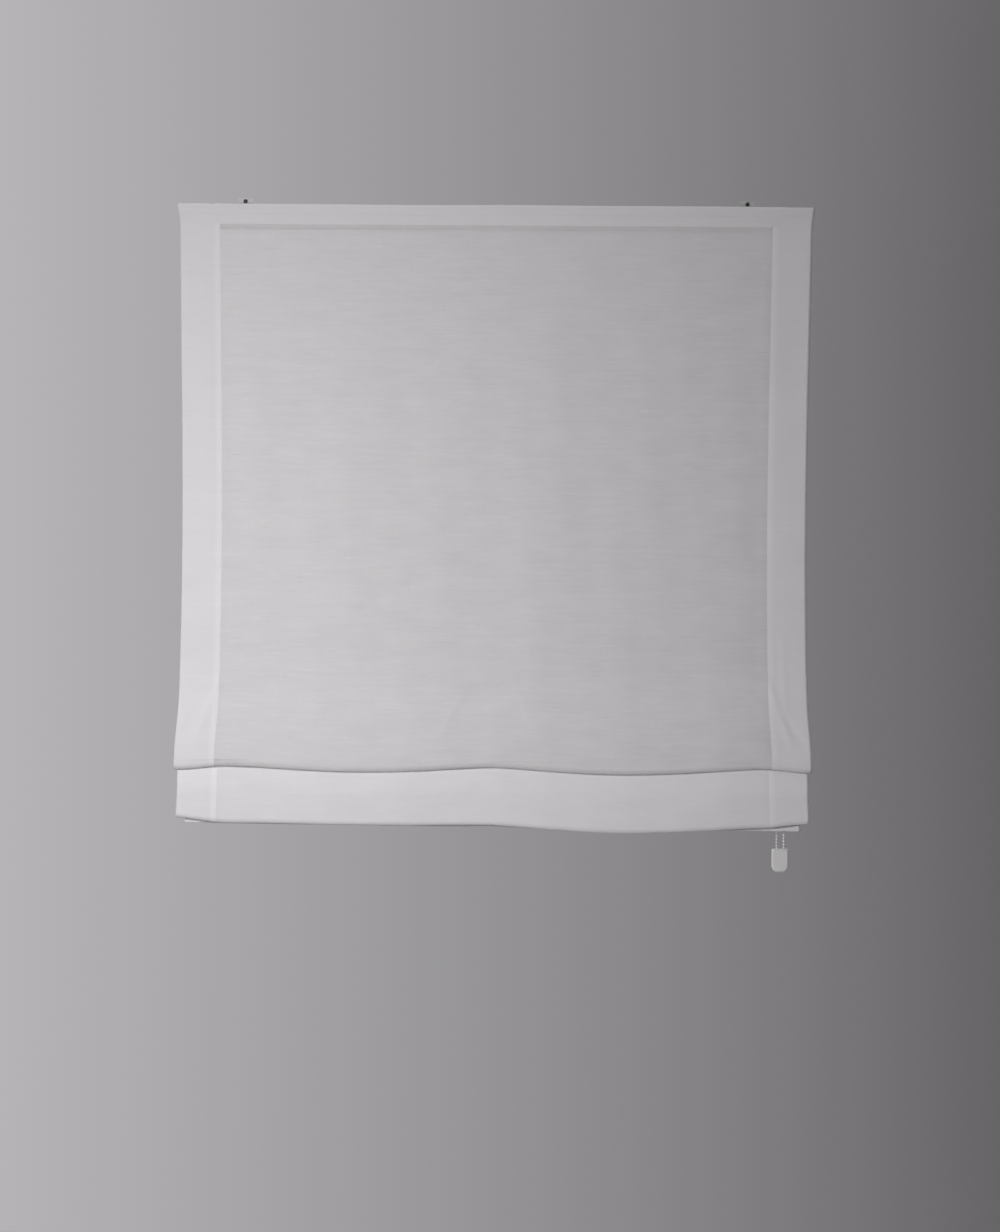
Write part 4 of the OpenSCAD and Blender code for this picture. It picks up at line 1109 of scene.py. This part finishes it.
class BLIND_OT_bead_chain(bpy.types.Operator):
    """Endless bead chain over the drive wheel and round the turn inside its weight."""

    bl_idname = "blind.bead_chain"
    bl_label = "Bead chain"

    def execute(self, context):
        trim = context.scene.blind_trim
        colours = context.scene.blind_colours
        path, bare = self.route(trim)
        aside = (1.0, 1.0, 0.0)
        link = tube_points(path, trim.bead_link / 2, 6, aside)
        places, ahead = spaced(path, trim.bead_pitch)
        beaded = places[:, 2] < bare
        places, ahead = places[beaded], ahead[beaded]
        beside = unit(np.cross(ahead, np.array(aside)))
        frames = np.stack([ahead, beside, np.cross(ahead, beside)], axis=1)
        points, quads, triangles = ball(10, 5)
        beads, faces = copies((points * trim.bead / 2, quads, triangles), places, frames)
        link_quads = grid_quads(*link.shape[:2], closed=True) + len(beads)
        strand = np.concatenate([beads, link.reshape(-1, 3)])
        mesh = bpy.data.meshes.new("bead_strand")
        mesh.from_pydata(strand.tolist(), [], faces + link_quads.tolist())
        material = polished("chain_beads", colours.chain, 0.3)
        chain = piece("bead_strand", finished(mesh), material, "headrail", ["bead_chain"])
        return {"FINISHED"}

    def route(self, trim):
        """Half turn over the wheel from back to front, down the front strand, round the weight's turn and up
        the back strand; also gives the height above which the cord is bare."""
        wheel_r = trim.wheel_pockets * trim.bead_pitch / (2 * math.pi)
        weight = middle("chain_weight_front")
        turn_z = weight.z + 4 * MM
        angle = np.linspace(0.0, np.pi, 17)
        across, rise = np.cos(angle), np.sin(angle)
        over = points_from(weight.x, SHAFT.y + wheel_r * across, SHAFT.z + wheel_r * rise)
        under = points_from(weight.x - trim.weight_turn * across, SHAFT.y, turn_z - trim.weight_turn * rise)
        share = np.linspace(0, 1, STRAND_ROWS)[1:, None]
        down = mix(over[-1], under[0], share[:-1])
        up = mix(under[-1], over[0], share)
        return np.concatenate([over, down, under, up]), SHAFT.z - 14 * MM


class BLIND_OT_lift_cords(bpy.types.Operator):
    """Three braided lift cords: wound turns on the spools, and runs through the rings to the adjusters."""

    bl_idname = "blind.lift_cords"
    bl_label = "Lift cords"

    def execute(self, context):
        trim = context.scene.blind_trim
        material = braid(context.scene.blind_colours.cloth)
        for side, x in CORD_XS.items():
            node = f"lift_cord_{side}"
            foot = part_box(node)[0].z
            mesh = tube_mesh(f"cord_run_{side}", self.run(x, foot), trim.cord / 2, 10, (1.0, 0.0, 0.0))
            made = piece(f"cord_run_{side}", mesh, material, "headrail", [node])
            gathers(made, FIXED_END[node], foot)
            mesh = tube_mesh(f"cord_turns_{side}", self.coil(x, trim), trim.cord / 2, 8, (1.0, 0.0, 0.0))
            piece(f"cord_turns_{side}", mesh, material, "drive_shaft", [node])
        return {"FINISHED"}

    def run(self, x, foot):
        """Straight down from the shaft's height to the cord's foot."""
        return points_from(x, CORD_Y, np.linspace(SHAFT.z, foot, 40))

    def coil(self, x, trim):
        """Helix round the shaft from where the run leaves it, a little over a cord along for each turn."""
        coil_r = SHAFT.y - CORD_Y
        turns = np.linspace(0.0, trim.cord_turns, 24 * trim.cord_turns + 1)
        angle = np.pi + 2 * np.pi * turns
        along = x + (trim.cord + 0.1 * MM) * turns
        return points_from(along, SHAFT.y + coil_r * np.cos(angle), SHAFT.z - coil_r * np.sin(angle))


class BLIND_OT_cloth(bpy.types.Operator):
    """The cloth with its hems turned in: the top band, the hanging panel and the drawn-up folds."""

    bl_idname = "blind.cloth"
    bl_label = "Cloth"

    def execute(self, context):
        cloth = context.scene.blind_cloth
        hang = Hang(cloth)
        columns = Columns(cloth)
        share = columns.share[None, :]
        rows = np.linspace(hang.band_foot, hang.seam_z, PANEL_ROWS)[:, None]
        band = hang.band(share)
        panel = hang.panel(share, rows)
        folds = hang.folds(share)
        panel_slide = hang.panel_slide(panel[..., 0], rows)
        fold_slide = hang.fold_slide(folds)
        # Where each piece starts down the weave, which is measured from the top edge
        panel_v = CLOTH_TOP - hang.band_foot
        folds_v = CLOTH_TOP - hang.seam_z
        # Where the painted glow of the stacked folds starts down the weave
        stack_v = folds_v + travelled(middle_column(folds))[CREASE_ROW]
        material = linen(context.scene.blind_colours.cloth, cloth, float(stack_v))
        held_low = ["rings_lowest", "rings_second", "bottom_bar"]
        parts = (
            ("cloth_band", band, "headrail", -panel_v, 0.0, "stretched", ["loop_tape"]),
            ("cloth_panel", panel, "headrail", panel_v, panel_slide, "hung", ["loop_tape"]),
            ("cloth_folds", folds, "bottom_bar", folds_v, fold_slide, "folded", held_low),
        )
        for name, points, body, start, slide, held, carriers in parts:
            mesh = grid_mesh(name, columns.layered(points), columns.uv(points, start, slide))
            made = piece(name, mesh, material, body, ["fabric"])
            if name == "cloth_panel":
                gathers(made, hang.band_foot, hang.seam_z)
        return {"FINISHED"}


class BLIND_OT_stitching(bpy.types.Operator):
    """Stitches along the hems, and the thread that ties each ring to the cloth."""

    bl_idname = "blind.stitching"
    bl_label = "Stitching"

    def execute(self, context):
        cloth = context.scene.blind_cloth
        trim = context.scene.blind_trim
        material = sewing_thread(context.scene.blind_colours.thread)
        hang = Hang(cloth)
        inner = 1.0 - (cloth.side_hem - 4 * MM) / hang.half
        sides = np.array([[-inner, inner]])
        across = np.linspace(-1.0, 1.0, STITCH_PATH_ACROSS)[None, :]
        rows = np.linspace(hang.band_foot, hang.seam_z, STITCH_PATH_DOWN)[:, None]
        band = hang.band(across)
        panel = hang.panel(sides, rows)
        folds = hang.folds(sides)[:STITCHED_ROWS]
        pocket = hang.folds(across)[-sum(POCKET_ROWS)]
        lines = {
            "stitches_band": ([band[row] for row in BAND_STITCH_ROWS], "headrail"),
            "stitches_panel": ([panel[:, 0], panel[:, 1]], "headrail"),
            "stitches_folds": ([folds[:, 0], folds[:, 1], pocket], "bottom_bar"),
        }
        for name, (paths, body) in lines.items():
            mesh = self.stitches(name, paths, trim)
            made = piece(name, mesh, material, body)
            if name == "stitches_panel":
                gathers(made, hang.band_foot, hang.seam_z)
        for row, body, z in zip(ROW_NAMES, ROW_BODIES, ROWS):
            piece(f"ring_ties_{row}", self.ties(f"ring_ties_{row}", z), material, body)
        return {"FINISHED"}

    def stitches(self, name, paths, trim):
        """Long low ellipsoids laid end to end along lines on the cloth's face."""
        points, quads, triangles = ball(6, 3)
        size = np.array([trim.stitch_length, trim.stitch_width, trim.stitch_width])
        shape = (points * size / 2, quads, triangles)
        out = np.array((0.0, -1.0, 0.0))
        places, frames = [], []
        for path in paths:
            spots, ahead = spaced(path, trim.stitch_pitch)
            beside = unit(np.cross(ahead, out))
            face = np.cross(beside, ahead)
            places.append(spots + 0.1 * MM * face)
            frames.append(np.stack([ahead, beside, face], axis=1))
        return copies_mesh(name, shape, np.concatenate(places), np.concatenate(frames))

    def ties(self, name, z):
        """Small round loops of thread at the front of each ring, square to its wire."""
        thread_r = 0.2 * MM
        reach = RING_WIRE / 2 + thread_r + 0.05 * MM
        turn = np.linspace(0.0, 2 * np.pi, 17)[:, None]
        around = np.linspace(0.0, 2 * np.pi, 7)[None, :]
        out = reach + thread_r * np.cos(around)
        loop = points_from(out * np.cos(turn), out * np.sin(turn), thread_r * np.sin(around))
        shape = (loop.reshape(-1, 3), grid_quads(*loop.shape[:2]), np.zeros((0, 3), int))
        up = np.array((0.0, 0.0, 1.0))
        places, frames = [], []
        for cord in CORD_XS.values():
            for lean in np.radians(TIE_LEANS):
                ahead = np.array((math.sin(lean), -math.cos(lean), 0.0))
                places.append(np.array((cord, CORD_Y, z)) + (RING_R - RING_WIRE / 2) * ahead)
                frames.append([ahead, up, np.cross(ahead, up)])
        return welded(copies_mesh(name, shape, np.array(places), np.array(frames)))


class BLIND_OT_wall_screws(bpy.types.Operator):
    """Blackened pan-head screws through the wall legs of the brackets."""

    bl_idname = "blind.wall_screws"
    bl_label = "Wall screws"

    def execute(self, context):
        trim = context.scene.blind_trim
        material = moulded("blackened_screw", context.scene.blind_colours.screw, 0.4)
        for side in ("left", "right"):
            x = middle(f"wall_bracket_{side}").x
            mesh = self.head(f"wall_screw_{side}", x, trim.screw_head)
            piece(f"wall_screw_{side}", mesh, material, "headrail")
        return {"FINISHED"}

    def head(self, name, x, radius):
        """Domed head of height 0.6 radius with a cross recess, on a short shank, turned about Y."""
        out = np.array(SCREW_DOME + SCREW_SHANK) * radius
        dome = 0.6 * radius * np.sqrt(1.0 - 0.8 * np.array(SCREW_DOME) ** 2)
        height = np.concatenate([dome, [0.0, 0.0, BRACKET_FACE, BRACKET_FACE]])
        angle = np.linspace(0.0, 2 * np.pi, 65)[:-1]
        across = out[:, None] * np.cos(angle)
        upward = out[:, None] * np.sin(angle)
        arm = np.minimum(np.abs(across), np.abs(upward)) < 0.17 * radius
        recess = np.where(arm & (out[:, None] < 0.62 * radius) & (height[:, None] > 0), 0.35 * radius, 0.0)
        y = BRACKET_FACE - height[:, None] + recess
        return welded(grid_mesh(name, points_from(x + across, y, upward), closed=True))


class BLIND_OT_hardware(bpy.types.Operator):
    """Finishes of the rail, brackets, drive, rings, bar and chain weight."""

    bl_idname = "blind.hardware"
    bl_label = "Hardware finishes"

    def execute(self, context):
        colours = context.scene.blind_colours
        white = moulded("white_plastic", colours.white, 0.5)
        grey = moulded("grey_plastic", colours.grey, 0.5)
        zinc = zinc_coat(colours.zinc)
        steel = drawn("drawn_steel", colours.steel, 0.35)
        finishes = {
            powder_coat(colours.rail): ["headrail"],
            white: ["end_cap_left", "end_cap_right", "drive_housing", "drive_cover", "cord_adjusters",
                    "bar_cap_left", "bar_cap_right", *(f"cord_spool_{side}" for side in SIDES),
                    *(f"spool_cradle_{side}" for side in SIDES)],
            grey: ["turn_clip_left", "turn_clip_right", "chain_wheel"],
            zinc: ["wall_bracket_left", "wall_bracket_right", "clip_rivets"],
            steel: ["drive_shaft", "wrap_spring"],
            drawn("mill_aluminium", colours.aluminium, 0.4): ["bottom_bar"],
            pile_tape("hook_pile", colours.white, 1.6 * MM, 0.6 * MM): ["hook_tape"],
            pile_tape("loop_pile", colours.cloth, 1.1 * MM, 0.4 * MM): ["loop_tape"],
            polished("milky_rings", colours.ring, 0.25): [f"rings_{row}" for row in ROW_NAMES],
            polished("connector_plastic", colours.chain, 0.3): ["chain_connector"],
            polished("weight_plastic", colours.weight, 0.35): ["chain_weight_front", "chain_weight_back"],
        }
        for material, nodes in finishes.items():
            for name in nodes:
                node = frame["nodes"][name]
                node.data.materials.clear()
                node.data.materials.append(material)
        return {"FINISHED"}


class BLIND_PT_sidebar(bpy.types.Panel):
    """Lists the blind's builders and sizes."""

    bl_label = "Roman Blind"
    bl_space_type = "VIEW_3D"
    bl_region_type = "UI"
    bl_category = "Blind"

    def draw(self, context):
        for operator in OPERATORS:
            self.layout.operator(operator.bl_idname)
        for group in GROUPS:
            settings = getattr(context.scene, group)
            for name in settings.__annotations__:
                self.layout.prop(settings, name)


OPERATORS = (
    BLIND_OT_stage,
    BLIND_OT_bead_chain,
    BLIND_OT_lift_cords,
    BLIND_OT_cloth,
    BLIND_OT_stitching,
    BLIND_OT_wall_screws,
    BLIND_OT_hardware,
)
GROUPS = {
    "blind_cloth": ClothSizes,
    "blind_trim": TrimSizes,
    "blind_colours": BlindColours,
    "blind_stage": StageSizes,
}


def register():
    """Registers the sizes, the operators and the panel."""
    for name, group in GROUPS.items():
        bpy.utils.register_class(group)
        setattr(bpy.types.Scene, name, PointerProperty(type=group))
    for made in (*OPERATORS, BLIND_PT_sidebar):
        bpy.utils.register_class(made)


def unregister():
    """Takes back what register added."""
    for made in (BLIND_PT_sidebar, *reversed(OPERATORS)):
        bpy.utils.unregister_class(made)
    for name, group in GROUPS.items():
        delattr(bpy.types.Scene, name)
        bpy.utils.unregister_class(group)


def main():
    """Builds the stage and every piece in order."""
    register()
    for operator in OPERATORS:
        group, name = operator.bl_idname.split(".")
        getattr(getattr(bpy.ops, group), name)()


if __name__ == "__main__":
    main()
